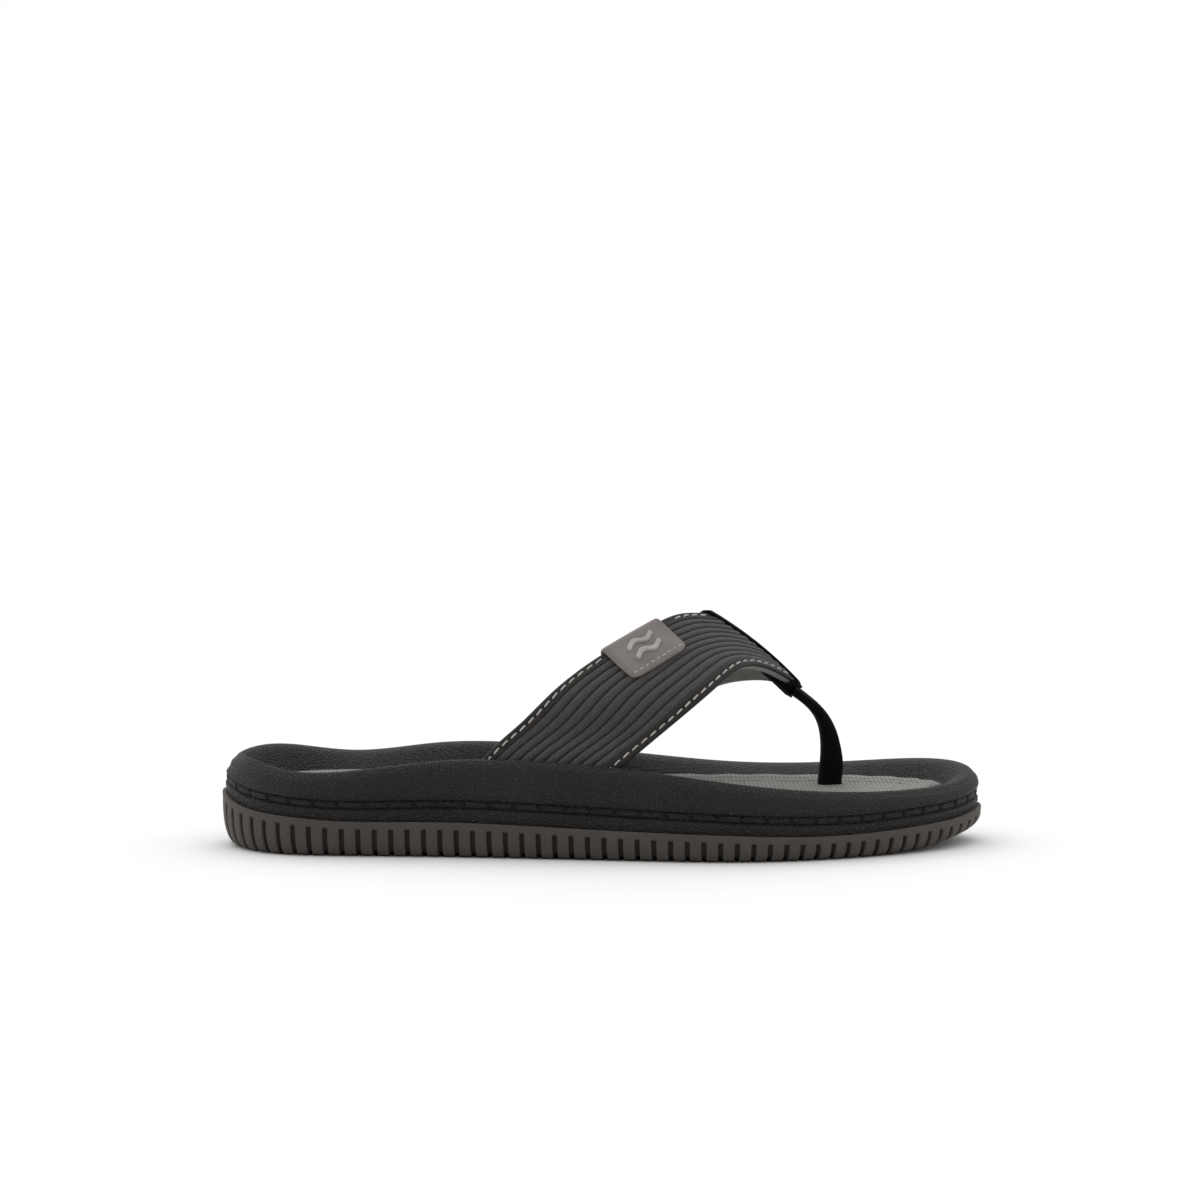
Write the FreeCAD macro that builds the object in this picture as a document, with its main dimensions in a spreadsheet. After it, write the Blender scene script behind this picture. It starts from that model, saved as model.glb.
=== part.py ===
"""Right-foot flip flop: cup outsole, foam midsole, insole, two padded straps, a webbing toe post and a rubber tag.

Frame: +X towards the toe, +Y towards the inner (medial) side of the foot, +Z up. The origin is on the
ground under the middle of the sandal. Lengths are in millimetres.
"""
import FreeCAD
import Part
import math
import os

Vector = FreeCAD.Vector

doc = FreeCAD.newDocument("flip_flop")

# ---------------------------------------------------------------- driving dimensions
SIZES = {
    "sole_length": 290.0,
    "ball_width": 106.0,
    "heel_width": 74.6,
    "rim_height": 36.0,        # highest point of the midsole's rim
    "cup_height": 21.0,        # highest point of the outsole's lip, behind the heel
    "outsole_floor": 5.0,      # rubber under the foam
    "cup_wall": 1.5,           # rubber beside the foam, at the lip
    "edge_tuck": 9.0,          # how far the rubber turns in at the ground
    "heel_lean": 2.2,          # how far the rim leans in behind the heel
    "heel_seat": 25.3,         # top of the insole under the heel
    "ball_seat": 20.6,
    "toe_seat": 21.6,
    "seat_dish": 1.6,          # rise of the seat towards its sides
    "arch_lift": 3.2,          # extra rise on the medial side
    "toe_spring": 5.0,
    "insole_depth": 2.5,
    "insole_proud": 0.3,
    "insole_margin_lateral": 11.5,
    "insole_margin_medial": 18.0,
    "scallop_depth": 1.6,
    "channel_depth": 1.3,      # moulded stitch channel round the midsole
    "slot_pitch": 6.1,         # sipes in the outsole's side wall
    "slot_width": 1.4,
    "slot_depth": 1.0,
    "tread_pitch": 11.0,
    "tread_width": 2.4,
    "tread_depth": 1.6,
    "strap_rear": -48.5,       # rear corner of the strap's end in the midsole
    "strap_front": -3.0,       # front corner of that end
    "strap_end": 25.0,         # height of that end
    "strap_inset": 9.4,        # outline to the strap's underside
    "lining_thickness": 0.8,
    "padding_thickness": 1.6,
    "panel_thickness": 1.4,
    "edge_width": 4.2,         # folded edge band of the strap
    "strap_crown": 1.6,
    "ridge_offset": 13.0,      # seam and toe post, towards the big toe
    "crotch_along": 39.0,      # rear end of the seam
    "crotch_height": 84.2,
    "apex_along": 72.4,        # front end of the seam
    "apex_height": 57.2,
    "tape_thickness": 0.9,     # strip folded over the seam
    "tape_half": 2.4,
    "tape_under": 8.0,
    "ply_thickness": 1.4,      # webbing of the toe post under the seam
    "ply_half": 5.0,
    "post_along": 87.4,        # where the toe post meets the insole
    "post_length": 9.0,
    "post_width": 7.0,
    "anchor_diameter": 18.0,
    "anchor_thickness": 2.6,
    "tab_thickness": 1.6,
    "tab_length": 40.0,
    "tab_foot": 14.0,
    "stitch_radius": 0.35,
    "stitch_length": 3.4,
    "stitch_pitch": 4.3,
    "stitch_margin": 2.1,
    "tag_offset": 26.1,        # from the rear end of the seam
    "tag_length": 25.8,
    "tag_reach": 17.5,         # over the top of the strap
    "tag_under": 9.0,          # back under the strap
    "tag_thickness": 1.5,
    "tag_stitch_length": 1.7,
    "tag_stitch_pitch": 2.7,
    "tag_thread_radius": 0.28,
    "emblem_length": 11.0,
    "emblem_bar": 2.0,
    "emblem_rise": 0.6,
    "skin_gap": 0.05,          # air between touching skins
    "slot_clearance": 0.2,     # air round a piece that passes through the foam
}
sheet = doc.addObject("Spreadsheet::Sheet", "Sizes")
for row, (name, value) in enumerate(SIZES.items(), start=1):
    sheet.set(f"A{row}", name)
    sheet.set(f"B{row}", str(value))
    sheet.setAlias(f"B{row}", name)
doc.recompute()


def size(name):
    """A driving dimension, read from the sheet."""
    return float(sheet.get(name))


HALF_LENGTH = size("sole_length") / 2
STRAP_THICKNESS = size("lining_thickness") + size("padding_thickness") + size("panel_thickness")

# ---------------------------------------------------------------- shape of the sole
# Stations round the sole, from behind the heel along the lateral side: share of the half length, share of
# the local half width, rim height as a share of the highest, outsole lip as a share of the highest.
STATIONS = [
    (-1.000, 0.000, 0.950, 1.000),
    (-0.948, -0.536, 0.945, 0.825),
    (-0.834, -0.885, 0.860, 0.710),
    (-0.676, -1.000, 0.855, 0.630),
    (-0.448, -1.059, 0.965, 0.630),
    (-0.172, -1.035, 0.985, 0.586),
    (0.103, -1.033, 0.895, 0.520),
    (0.324, -1.000, 0.785, 0.476),
    (0.517, -0.915, 0.700, 0.430),
    (0.690, -0.726, 0.655, 0.443),
    (0.841, -0.472, 0.645, 0.505),
    (0.952, -0.160, 0.675, 0.581),
    (1.000, 0.151, 0.745, 0.667),
    (0.972, 0.453, 0.790, 0.620),
    (0.876, 0.717, 0.785, 0.540),
    (0.717, 0.906, 0.730, 0.470),
    (0.517, 0.990, 0.690, 0.435),
    (0.345, 1.000, 0.705, 0.476),
    (0.103, 0.975, 0.810, 0.520),
    (-0.172, 0.930, 0.935, 0.586),
    (-0.448, 1.005, 0.960, 0.630),
    (-0.676, 0.992, 0.880, 0.630),
    (-0.834, 0.885, 0.950, 0.710),
    (-0.948, 0.536, 0.985, 0.825),
]
HEEL_END, BALL_START = -0.45, 0.32     # the width changes between these shares of the half length


def blend(low, high, x):
    """0 below low, 1 above high, and an even slope that eases in and out between them."""
    t = min(1.0, max(0.0, (x - low) / (high - low)))
    return t * t * (3 - 2 * t)


def half_width(x):
    """Half the sole's width at x, before the station's own share."""
    t = min(1.0, max(0.0, (x / HALF_LENGTH - HEEL_END) / (BALL_START - HEEL_END)))
    return ((1 - t) * size("heel_width") + t * size("ball_width")) / 2


def ground(x):
    """Height of the outsole's underside above the floor: toe spring and a little heel lift."""
    toe = max(0.0, (x - 0.55 * HALF_LENGTH) / (0.45 * HALF_LENGTH))
    heel = max(0.0, (-x - 0.86 * HALF_LENGTH) / (0.14 * HALF_LENGTH))
    return size("toe_spring") * (toe ** 3 + 0.15 * heel ** 2)


def seat(x, y):
    """Top of the insole."""
    along = size("heel_seat")
    along += (size("ball_seat") - size("heel_seat")) * blend(-0.45 * HALF_LENGTH, 0.35 * HALF_LENGTH, x)
    along += (size("toe_seat") - size("ball_seat")) * blend(0.5 * HALF_LENGTH, HALF_LENGTH, x)
    share = y / half_width(x)
    arch = size("arch_lift") * math.exp(-((x / HALF_LENGTH + 0.22) / 0.3) ** 2)
    return along + size("seat_dish") * share ** 2 + arch * max(0.0, share) ** 2


def periodic_curve(points, parameters):
    curve = Part.BSplineCurve()
    curve.interpolate(Points=points, PeriodicFlag=True, Parameters=parameters)
    return curve


STATION_POINTS = [Vector(x * HALF_LENGTH, y * half_width(x * HALF_LENGTH), 0) for x, y, _, _ in STATIONS]
STATION_TIMES = [0.0]
for here, after in zip(STATION_POINTS, STATION_POINTS[1:] + STATION_POINTS[:1]):
    STATION_TIMES.append(STATION_TIMES[-1] + here.distanceToPoint(after))
OUTLINE = periodic_curve(STATION_POINTS, STATION_TIMES)
RIM_POINTS = [Vector(p.x, p.y, size("rim_height") * s[2]) for p, s in zip(STATION_POINTS, STATIONS)]
RIM = periodic_curve(RIM_POINTS, STATION_TIMES)
LIP_POINTS = [Vector(p.x, p.y, size("cup_height") * s[3]) for p, s in zip(STATION_POINTS, STATIONS)]
LIP = periodic_curve(LIP_POINTS, STATION_TIMES)
ROUND = 72
TIMES = [STATION_TIMES[-1] * i / ROUND for i in range(ROUND + 1)]


def inward(time):
    """Level unit vector from the outline into the sole."""
    along = OUTLINE.tangent(time)[0]
    return Vector(-along.y, along.x, 0)


SIDE = 1 if inward(STATION_TIMES[6]).y > 0 else -1


def on_outline(time, inset, z):
    """The point inset from the outline at that time round it, at height z."""
    p = OUTLINE.value(time) + inward(time) * (SIDE * inset)
    return Vector(p.x, p.y, z)


def outline_time(x, medial):
    """Where the outline passes x on one side of the foot."""
    near = [t for t in TIMES[:-1] if (OUTLINE.value(t).y > 0) == medial]
    start = min(near, key=lambda t: abs(OUTLINE.value(t).x - x))
    step = TIMES[1]
    for _ in range(30):
        step /= 2
        start = min((start - step, start, start + step), key=lambda t: abs(OUTLINE.value(t).x - x))
    return start


# ---------------------------------------------------------------- building solids from rows of points
def clamped_knots(count, degree):
    inner = count - degree
    return [degree + 1] + [1] * (inner - 1) + [degree + 1], [float(i) for i in range(inner + 1)]


def closed_solid(side, ends):
    """A solid from a skin and its end faces."""
    shell = Part.Shell(sew([side] + ends))
    solid = Part.Solid(shell)
    if solid.Volume < 0:
        solid.reverse()
    return solid


def sew(faces):
    shape = Part.Compound(faces)
    shape.sewShape(0.001)
    return shape.Faces


def tube(rows, times, degree=2):
    """A solid whose skin runs through each closed row and is drawn along the rows as a control polygon.

    The first and the last row are level or at least flat, and close the solid.
    """
    curves = [periodic_curve(row, times) for row in rows]
    poles = [list(column) for column in zip(*[c.getPoles() for c in curves])]
    mults, knots = clamped_knots(len(rows), degree)
    skin = Part.BSplineSurface()
    skin.buildFromPolesMultsKnots(
        poles, curves[0].getMultiplicities(), mults, curves[0].getKnots(), knots, True, False, 3, degree
    )
    side = skin.toShape()
    ends = []
    for v in (knots[0], knots[-1]):
        ends.append(Part.Face(Part.Wire(skin.vIso(v).toShape())))
    return closed_solid(side, ends)


def sheet_surface(grid):
    """A smooth surface through a grid of points."""
    rows = []
    for line in grid:
        curve = Part.BSplineCurve()
        curve.interpolate(Points=line, Parameters=[float(i) for i in range(len(line))])
        rows.append(curve)
    columns = []
    for column in zip(*[c.getPoles() for c in rows]):
        curve = Part.BSplineCurve()
        curve.interpolate(Points=list(column), Parameters=[float(i) for i in range(len(column))])
        columns.append(curve)
    poles = [list(line) for line in zip(*[c.getPoles() for c in columns])]
    surface = Part.BSplineSurface()
    surface.buildFromPolesMultsKnots(
        poles, columns[0].getMultiplicities(), rows[0].getMultiplicities(),
        columns[0].getKnots(), rows[0].getKnots(), False, False, 3, 3
    )
    return surface


def slab(under, over):
    """A solid between two surfaces with the same grid: two sheets and four ruled sides."""
    u0, u1, v0, v1 = under.bounds()
    sides = []
    for iso, values in (("uIso", (u0, u1)), ("vIso", (v0, v1))):
        for value in values:
            low, high = (getattr(s, iso)(value).toShape() for s in (under, over))
            sides.append(Part.makeRuledSurface(low, high))
    return closed_solid(under.toShape(), [over.toShape()] + sides)


def feature(name, shape):
    """A document object that holds a shape set from the sheet's sizes."""
    made = doc.addObject("Part::Feature", name)
    made.Shape = shape
    return made


def boolean(kind, name, base, tool):
    made = doc.addObject(f"Part::{kind}", name)
    made.Base = base
    made.Tool = tool
    return made


def cut_all(name, base, tools):
    """base less each tool in turn."""
    for n, tool in enumerate(tools[:-1], start=1):
        base = boolean("Cut", f"{name}_less_{n}", base, tool)
    return boolean("Cut", name, base, tools[-1])


# ---------------------------------------------------------------- sole blanks
FAR_BELOW, FAR_ABOVE = -20.0, 120.0


def rows_round(profile):
    """Closed rows round the sole. profile gives (inset, height) pairs for a time on the outline."""
    columns = [profile(t) for t in TIMES[:-1]]
    count = len(columns[0])
    return [[on_outline(t, *column[n]) for t, column in zip(TIMES, columns)] for n in range(count)]


def edge_tuck(x):
    """How far the rubber turns in at the ground: more round the toe."""
    return size("edge_tuck") * (1 + 0.6 * blend(0.82 * HALF_LENGTH, HALF_LENGTH, x))


def cup_profile(time):
    """Outsole: up the ribbed wall from the ground, over the lip and down inside the cup."""
    lip = LIP.value(time).z
    low = ground(OUTLINE.value(time).x)
    tuck = edge_tuck(OUTLINE.value(time).x)
    return [
        (tuck + 4, FAR_BELOW),
        (tuck + 1, low - 2.0),
        (0.45 * tuck, low + 0.5),
        (0.12 * tuck, low + 0.3 * (lip - low)),
        (0.0, low + 0.62 * (lip - low)),
        (0.0, lip - 0.3),
        (0.2, lip),
        (size("cup_wall") + 3, lip),
        (size("cup_wall") + 9, lip),
        (size("cup_wall") + 11, size("toe_spring") + size("outsole_floor") + 1.5),
    ]


def channel_heights(time):
    """Lower and upper edge of the stitch channel."""
    lip, rim = LIP.value(time).z, RIM.value(time).z
    upper = lip + 4.9 + 0.145 * (rim - lip)
    return upper - 2.9, upper


def heel_lean(x):
    return size("heel_lean") * (1 - blend(-0.97 * HALF_LENGTH, -0.72 * HALF_LENGTH, x))


def foam_profile(time):
    """Midsole: up inside the cup, over the lower bulge, the channel and the upper wall."""
    lip, rim = LIP.value(time).z, RIM.value(time).z
    x = OUTLINE.value(time).x
    low, tuck, lean = ground(x) + size("outsole_floor"), edge_tuck(x), heel_lean(x)
    wall, depth = size("cup_wall"), size("channel_depth")
    lower, upper = channel_heights(time)
    return [
        (tuck + 1, FAR_BELOW),
        (tuck + 0.5, low - 1.5),
        (0.6 * tuck, low + 0.6),
        (wall + 1.2, low + 0.55 * (lip - low)),
        (wall, lip - 0.4),
        (wall - 0.3, lip + 0.8),
        (wall - 0.4, lower - 0.9),
        (wall + 0.1, lower - 0.1),
        (wall + depth, lower),
        (wall + depth, upper),
        (wall, upper + 0.1),
        (wall - 0.5 + 0.75 * lean, upper + 0.9),
        (wall - 0.2 + 0.95 * lean, upper + 0.4 * (rim - upper)),
        (wall + 0.9 + 1.1 * lean, upper + 0.75 * (rim - upper)),
        (wall + 1.6 + 1.2 * lean, rim + 3),
        (wall + 1.6 + 1.2 * lean, FAR_ABOVE),
    ]


def bowl_profile(time):
    """The space over the rim and the footbed: from outside over the crest and down to the seat."""
    rim = RIM.value(time).z
    margin = insole_margin(time)
    inner = on_outline(time, margin, 0)
    floor = seat(inner.x, inner.y)
    wall, lean = size("cup_wall"), heel_lean(OUTLINE.value(time).x)
    return [
        (-14.0, FAR_ABOVE),
        (-14.0, rim - 5.0),
        (wall - 1.0, rim - 5.0),
        (wall + 0.2 + lean, rim - 1.0),
        (wall + 2.8 + lean, rim + 0.8),
        (0.55 * margin, rim - 0.2),
        (0.8 * margin, floor + 0.35 * max(rim - floor, 1.0)),
        (margin - 0.5, floor - 0.6),
        (margin + 0.5, floor - 6.0),
        (margin + 0.5, FAR_BELOW),
    ]


def ground_curve(low, high, rise):
    """The ground line between two shares of the half length."""
    xs = [HALF_LENGTH * (low + (high - low) * n / 8) for n in range(9)]
    curve = Part.BSplineCurve()
    curve.interpolate([Vector(x, 0, ground(x) + rise) for x in xs])
    return curve


def level_slab(name, rise):
    """Everything above the ground line raised by rise."""
    toe = ground_curve(0.55, 1.1, rise)
    heel = ground_curve(-1.1, -0.86, rise)
    front, rear = toe.value(toe.LastParameter), heel.value(heel.FirstParameter)
    tops = [Vector(front.x, 0, FAR_ABOVE), Vector(rear.x, 0, FAR_ABOVE)]
    edges = [toe.toShape(), Part.makeLine(front, tops[0]), Part.makeLine(tops[0], tops[1])]
    edges += [Part.makeLine(tops[1], rear), heel.toShape()]
    edges.append(Part.makeLine(heel.value(heel.LastParameter), toe.value(toe.FirstParameter)))
    face = Part.Face(Part.Wire(edges))
    face.translate(Vector(0, -size("ball_width"), 0))
    return feature(name, face.extrude(Vector(0, 2 * size("ball_width"), 0)))


def insole_margin(time):
    """Outline to insole, wider along the medial side."""
    p = OUTLINE.value(time)
    lateral, medial = size("insole_margin_lateral"), size("insole_margin_medial")
    return lateral + (medial - lateral) * blend(-0.5, 0.6, p.y / half_width(p.x))


def seat_surface(rise):
    """The insole's top, raised by rise, as a surface that reaches past the sole."""
    xs = [HALF_LENGTH * (-1.15 + 0.1 * n) for n in range(24)]
    ys = [size("ball_width") * (-0.66 + 0.11 * n) for n in range(13)]
    return sheet_surface([[Vector(x, y, seat(x, y) + rise) for y in ys] for x in xs])


def insole_point(time, z):
    """A point on the scalloped edge of the insole."""
    waves = 0.5 + 0.5 * math.cos(2 * math.pi * 36 * time / STATION_TIMES[-1])
    fore = blend(-0.05 * HALF_LENGTH, 0.15 * HALF_LENGTH, OUTLINE.value(time).x)
    return on_outline(time, insole_margin(time) + size("scallop_depth") * waves * fore, z)


INSOLE_TIMES = [STATION_TIMES[-1] * i / 288 for i in range(289)]
above_ground = level_slab("above_ground", 0.0)
above_cup_floor = level_slab("above_cup_floor", size("outsole_floor"))
above_seat = feature("above_seat", slab(seat_surface(0.0), seat_surface(FAR_ABOVE)))
insole_layer = feature(
    "insole_layer", slab(seat_surface(-size("insole_depth")), seat_surface(size("insole_proud")))
)
cup_tube = feature("cup_tube", tube(rows_round(cup_profile), TIMES))
foam_tube = feature("foam_tube", tube(rows_round(foam_profile), TIMES))
bowl_tube = feature("bowl_tube", tube(rows_round(bowl_profile), TIMES))
insole_rows = [[insole_point(t, z) for t in INSOLE_TIMES[:-1]] for z in (0.0, 30.0, 60.0)]
insole_tube = feature("insole_tube", tube(insole_rows, INSOLE_TIMES))

cup_blank = boolean("Common", "cup_blank", cup_tube, above_ground)
foam_blank = boolean("Common", "foam_blank", foam_tube, above_cup_floor)
bowl = boolean("Common", "bowl", bowl_tube, above_seat)
insole_blank = boolean("Common", "insole_blank", insole_tube, insole_layer)

# ---------------------------------------------------------------- slots in the outsole
def wall_slots():
    """One thin cutter for each slot in the outsole's side wall."""
    count = round(STATION_TIMES[-1] / size("slot_pitch"))
    tools = []
    for n in range(count):
        time = STATION_TIMES[-1] * n / count
        lip = LIP.value(time).z
        box = Part.makeBox(
            size("slot_width"), 6 + size("slot_depth"), lip + 17,
            Vector(-size("slot_width") / 2, -6, -20)
        )
        direction = inward(time) * SIDE
        turn = FreeCAD.Rotation(Vector(0, 1, 0), direction)
        base = OUTLINE.value(time)
        box.Placement = FreeCAD.Placement(base, turn)
        tools.append(box)
    return Part.Compound(tools)


def tread_slots():
    """Cutters for the grooves across the tread, clear of the rounded edge."""
    tools = []
    for n in range(-12, 11):
        x = (n + 0.5) * size("tread_pitch")
        reach = 0.80 * half_width(x)
        tool = Part.makeBox(
            size("tread_width"), 2 * reach, 20 + size("tread_depth"),
            Vector(x - size("tread_width") / 2, -reach, -20)
        )
        if abs(x) < 0.78 * HALF_LENGTH:
            tools.append(tool)
    return Part.Compound(tools)


# ---------------------------------------------------------------- the strap as one arched sheet
# Rows from the sunk end to the seam: shares of the way along, across and up, for the rear edge and for
# the front edge of each strap.
LATERAL_REAR = [
    (0, 0, 0), (0.06, 0.01, 0.20), (0.195, 0.09, 0.38), (0.33, 0.175, 0.55), (0.47, 0.28, 0.71),
    (0.62, 0.42, 0.843), (0.77, 0.60, 0.964), (0.895, 0.80, 1.017), (1, 1, 1),
]
LATERAL_FRONT = [
    (0, 0, 0), (0.13, 0, 0.23), (0.29, 0.05, 0.52), (0.44, 0.14, 0.82), (0.58, 0.27, 1.07),
    (0.71, 0.46, 1.265), (0.83, 0.66, 1.25), (0.935, 0.85, 1.125), (1, 1, 1),
]
MEDIAL_REAR = [
    (0, 0, 0), (0.115, 0, 0.20), (0.25, 0.03, 0.38), (0.39, 0.09, 0.55), (0.53, 0.18, 0.705),
    (0.665, 0.32, 0.83), (0.80, 0.51, 0.94), (0.905, 0.74, 0.995), (1, 1, 1),
]
MEDIAL_FRONT = [
    (0, 0, 0), (0.13, 0, 0.23), (0.29, 0.03, 0.50), (0.44, 0.09, 0.74), (0.58, 0.20, 0.92),
    (0.71, 0.37, 1.02), (0.83, 0.57, 1.05), (0.93, 0.79, 1.03), (1, 1, 1),
]
CROTCH = Vector(size("crotch_along"), size("ridge_offset"), size("crotch_height"))
APEX = Vector(size("apex_along"), size("ridge_offset"), size("apex_height"))


def sunk_corner(x, medial):
    p = on_outline(outline_time(x, medial), size("strap_inset"), size("strap_end"))
    return Vector(x, p.y, p.z)


def between(low, high, shares):
    return Vector(*(a + (b - a) * s for a, b, s in zip(low, high, shares)))


def edge_points(x, end, lateral, medial):
    """Points of one edge, from the lateral end over the seam to the medial end."""
    side = [between(sunk_corner(x, False), end, s) for s in lateral]
    return side + [between(sunk_corner(x, True), end, s) for s in reversed(medial[:-1])]


SEAM = 8.0                     # row number at the seam
LAST = 16.0


def strap_sheet():
    """The foot side of the strap: rows run from the rear edge to the front edge, with a low crown."""
    rear = edge_points(size("strap_rear"), CROTCH, LATERAL_REAR, MEDIAL_REAR)
    front = edge_points(size("strap_front"), APEX, LATERAL_FRONT, MEDIAL_FRONT)
    grid = []
    for n, (a, b) in enumerate(zip(rear, front)):
        before, after = max(n - 1, 0), min(n + 1, len(rear) - 1)
        along = (rear[after] + front[after]) - (rear[before] + front[before])
        out = along.cross(b - a)
        out.normalize()
        if out.z < 0 and 2 < n < 14:
            out = out * -1
        row = []
        for k in range(7):
            share = k / 6
            crown = size("strap_crown") * 4 * share * (1 - share) * min(1.0, min(n, LAST - n) / 2)
            row.append(a + (b - a) * share + out * crown)
        grid.append(row)
    return sheet_surface(grid)


STRAP = strap_sheet()
ACROSS = 6.0                   # parameter range from the rear edge to the front edge


def strap_normal(row, share):
    return STRAP.normal(row, share * ACROSS)


OUTWARD = 1 if strap_normal(4.0, 0.5).y < 0 else -1


def on_strap(row, share, height):
    """A point at a height over the strap's foot side. A share outside 0 to 1 runs on past the edge."""
    inside = min(1.0, max(0.0, share))
    p = STRAP.value(row, inside * ACROSS)
    if share != inside:
        p = p + STRAP.getDN(row, inside * ACROSS, 0, 1) * ((share - inside) * ACROSS)
    return p + strap_normal(row, inside) * (OUTWARD * height)


def share_of(row, margin, front=False):
    """A margin square to an edge, as a share of the row that crosses it."""
    v = ACROSS if front else 0.0
    along, across = STRAP.getDN(row, v, 1, 0), STRAP.getDN(row, v, 0, 1)
    return margin / (ACROSS * across.Length * math.sin(along.getAngle(across)))


def on_square(row, distance, height):
    """A point on the strap found by walking square across it from its rear edge."""
    steps, v = 8, 0.0
    for _ in range(steps):
        along, across = STRAP.getDN(row, v, 1, 0), STRAP.getDN(row, v, 0, 1)
        slide = across.dot(along) / along.dot(along)
        square = across - along * slide
        if distance <= 0:
            break
        row, v = row - slide * distance / steps / square.Length, v + distance / steps / square.Length
    point = STRAP.value(row, v) + STRAP.normal(row, v) * (OUTWARD * height)
    return point + square.normalize() * min(distance, 0.0)


def strap_slab(rows, margins, heights, steps=6, point=on_strap):
    """A solid on the strap: a range of rows, margins from the rear and front edges, a range of heights."""
    count = max(4, round(abs(rows[1] - rows[0]) * 2))
    skins = []
    for height in heights:
        grid = []
        for n in range(count + 1):
            row = rows[0] + (rows[1] - rows[0]) * n / count
            low, high = margins(row)
            grid.append([point(row, low + (high - low) * k / steps, height) for k in range(steps + 1)])
        skins.append(sheet_surface(grid))
    return slab(*skins)


def inside_edges(rear, front):
    """Margins of a piece that stays inside both edges."""
    return lambda row: (share_of(row, rear), 1 - share_of(row, front, True))


def rear_strip(start, stop):
    """Margins of a piece along the rear edge."""
    return lambda row: (share_of(row, start), share_of(row, stop))


def front_strip(start, stop):
    return lambda row: (1 - share_of(row, stop, True), 1 - share_of(row, start, True))


GAP = size("skin_gap")
LINING_TOP = size("lining_thickness")
PADDING_TOP = LINING_TOP + size("padding_thickness")
SEAM_HALF = 0.01
STRAP_ROWS = {"lateral": (0.0, SEAM - SEAM_HALF), "medial": (SEAM + SEAM_HALF, LAST)}
nodes = {}


def keep(name, made):
    """Name a finished piece."""
    made.Label = name
    nodes[name] = made
    return made


for side, rows in STRAP_ROWS.items():
    inner = size("edge_width") + GAP
    panel = strap_slab(rows, inside_edges(inner, inner), (PADDING_TOP + GAP, STRAP_THICKNESS))
    keep(f"{side}_strap_panel", feature(f"{side}_panel_solid", panel))
    wrap = LINING_TOP
    padding = feature(
        f"{side}_padding_solid", strap_slab(rows, inside_edges(wrap, wrap), (LINING_TOP, PADDING_TOP))
    )
    keep(f"{side}_strap_padding", padding)
    short = (rows[0] + 0.02, rows[1] - 0.02)
    blank = feature(f"{side}_lining_blank", strap_slab(short, inside_edges(0.1, 0.1), (0.0, PADDING_TOP - GAP)))
    keep(f"{side}_strap_lining", boolean("Cut", f"{side}_lining_solid", blank, padding))
    for end, margins in (("rear", rear_strip), ("front", front_strip)):
        strip = strap_slab(rows, margins(0.0, size("edge_width")), (PADDING_TOP + GAP, STRAP_THICKNESS), 4)
        keep(f"{side}_strap_{end}_binding", feature(f"{side}_{end}_edge", strip))

# ---------------------------------------------------------------- pieces that fold over the strap
def fold(name, rows, thickness, spans, point):
    """A strip laid over the strap, folded round its rear edge and back along the foot side.

    spans are the ends of the strip over the strap, of the strap inside it, and of the part that stays
    open underneath, each as a function of the row.
    """
    wide = (rows[0] - 0.1, rows[1] + 0.1)
    top = STRAP_THICKNESS + GAP
    cuts = []
    for part, part_rows, span, heights in (
        ("outer", rows, spans[0], (-GAP - thickness, top + thickness)),
        ("inner", wide, spans[1], (-GAP, top)),
        ("below", wide, spans[2], (-GAP - thickness - 2, GAP)),
    ):
        cuts.append(feature(f"{name}_{part}", strap_slab(part_rows, span, heights, 6, point)))
    return cut_all(f"{name}_fold", cuts[0], cuts[1:])


def row_after(start, distance):
    """The row reached by walking a distance along the rear edge towards the lateral end."""
    row, gone = start, 0.0
    while gone < distance:
        gone += STRAP.value(row, 0).distanceToPoint(STRAP.value(row - 0.01, 0))
        row -= 0.01
    return row


SPACING = STRAP.getDN(SEAM, ACROSS / 2, 1, 0).Length
STRIP_HALF = size("tape_half") / SPACING
strip_rows = (SEAM - STRIP_HALF, SEAM + STRIP_HALF)
strip_spans = [
    lambda row: (share_of(row, -GAP - size("tape_thickness")), 1.0),
    lambda row: (share_of(row, -GAP), 1.2),
    lambda row: (share_of(row, size("tape_under")), 1.3),
]
keep("seam_strip", fold("seam_strip", strip_rows, size("tape_thickness"), strip_spans, on_strap))

TAG_FRONT = row_after(SEAM, size("tag_offset"))
TAG_REAR = row_after(TAG_FRONT, size("tag_length"))
tag_rows = (TAG_REAR, TAG_FRONT)
tag_spans = [
    lambda row: (-GAP - size("tag_thickness"), size("tag_reach")),
    lambda row: (-GAP, size("tag_reach") + 2),
    lambda row: (size("tag_under"), size("tag_reach") + 3),
]
keep("strap_tag", fold("strap_tag", tag_rows, size("tag_thickness"), tag_spans, on_square))
TAG_TOP = STRAP_THICKNESS + GAP + size("tag_thickness")


def wave_bar(n):
    """One of the two raised wavy bars on the tag."""
    middle = (TAG_REAR + TAG_FRONT) / 2
    half = size("emblem_length") / 2 * (TAG_FRONT - TAG_REAR) / size("tag_length")
    start = size("tag_reach") * 0.42 + (n - 0.5) * 2.1 * size("emblem_bar") - size("emblem_bar") / 2
    count, skins = 16, []
    for height in (TAG_TOP + 0.01, TAG_TOP + size("emblem_rise")):
        grid = []
        for k in range(count + 1):
            share = 2 * k / count - 1
            low = start + 0.9 * math.sin(math.pi * 1.5 * share)
            row = middle + half * share
            grid.append([on_square(row, low + size("emblem_bar") * j / 3, height) for j in range(4)])
        skins.append(sheet_surface(grid))
    return slab(*skins)


emblem = feature("wave_bars", Part.Compound([wave_bar(0), wave_bar(1)]))
keep("tag_emblem", emblem)


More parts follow.
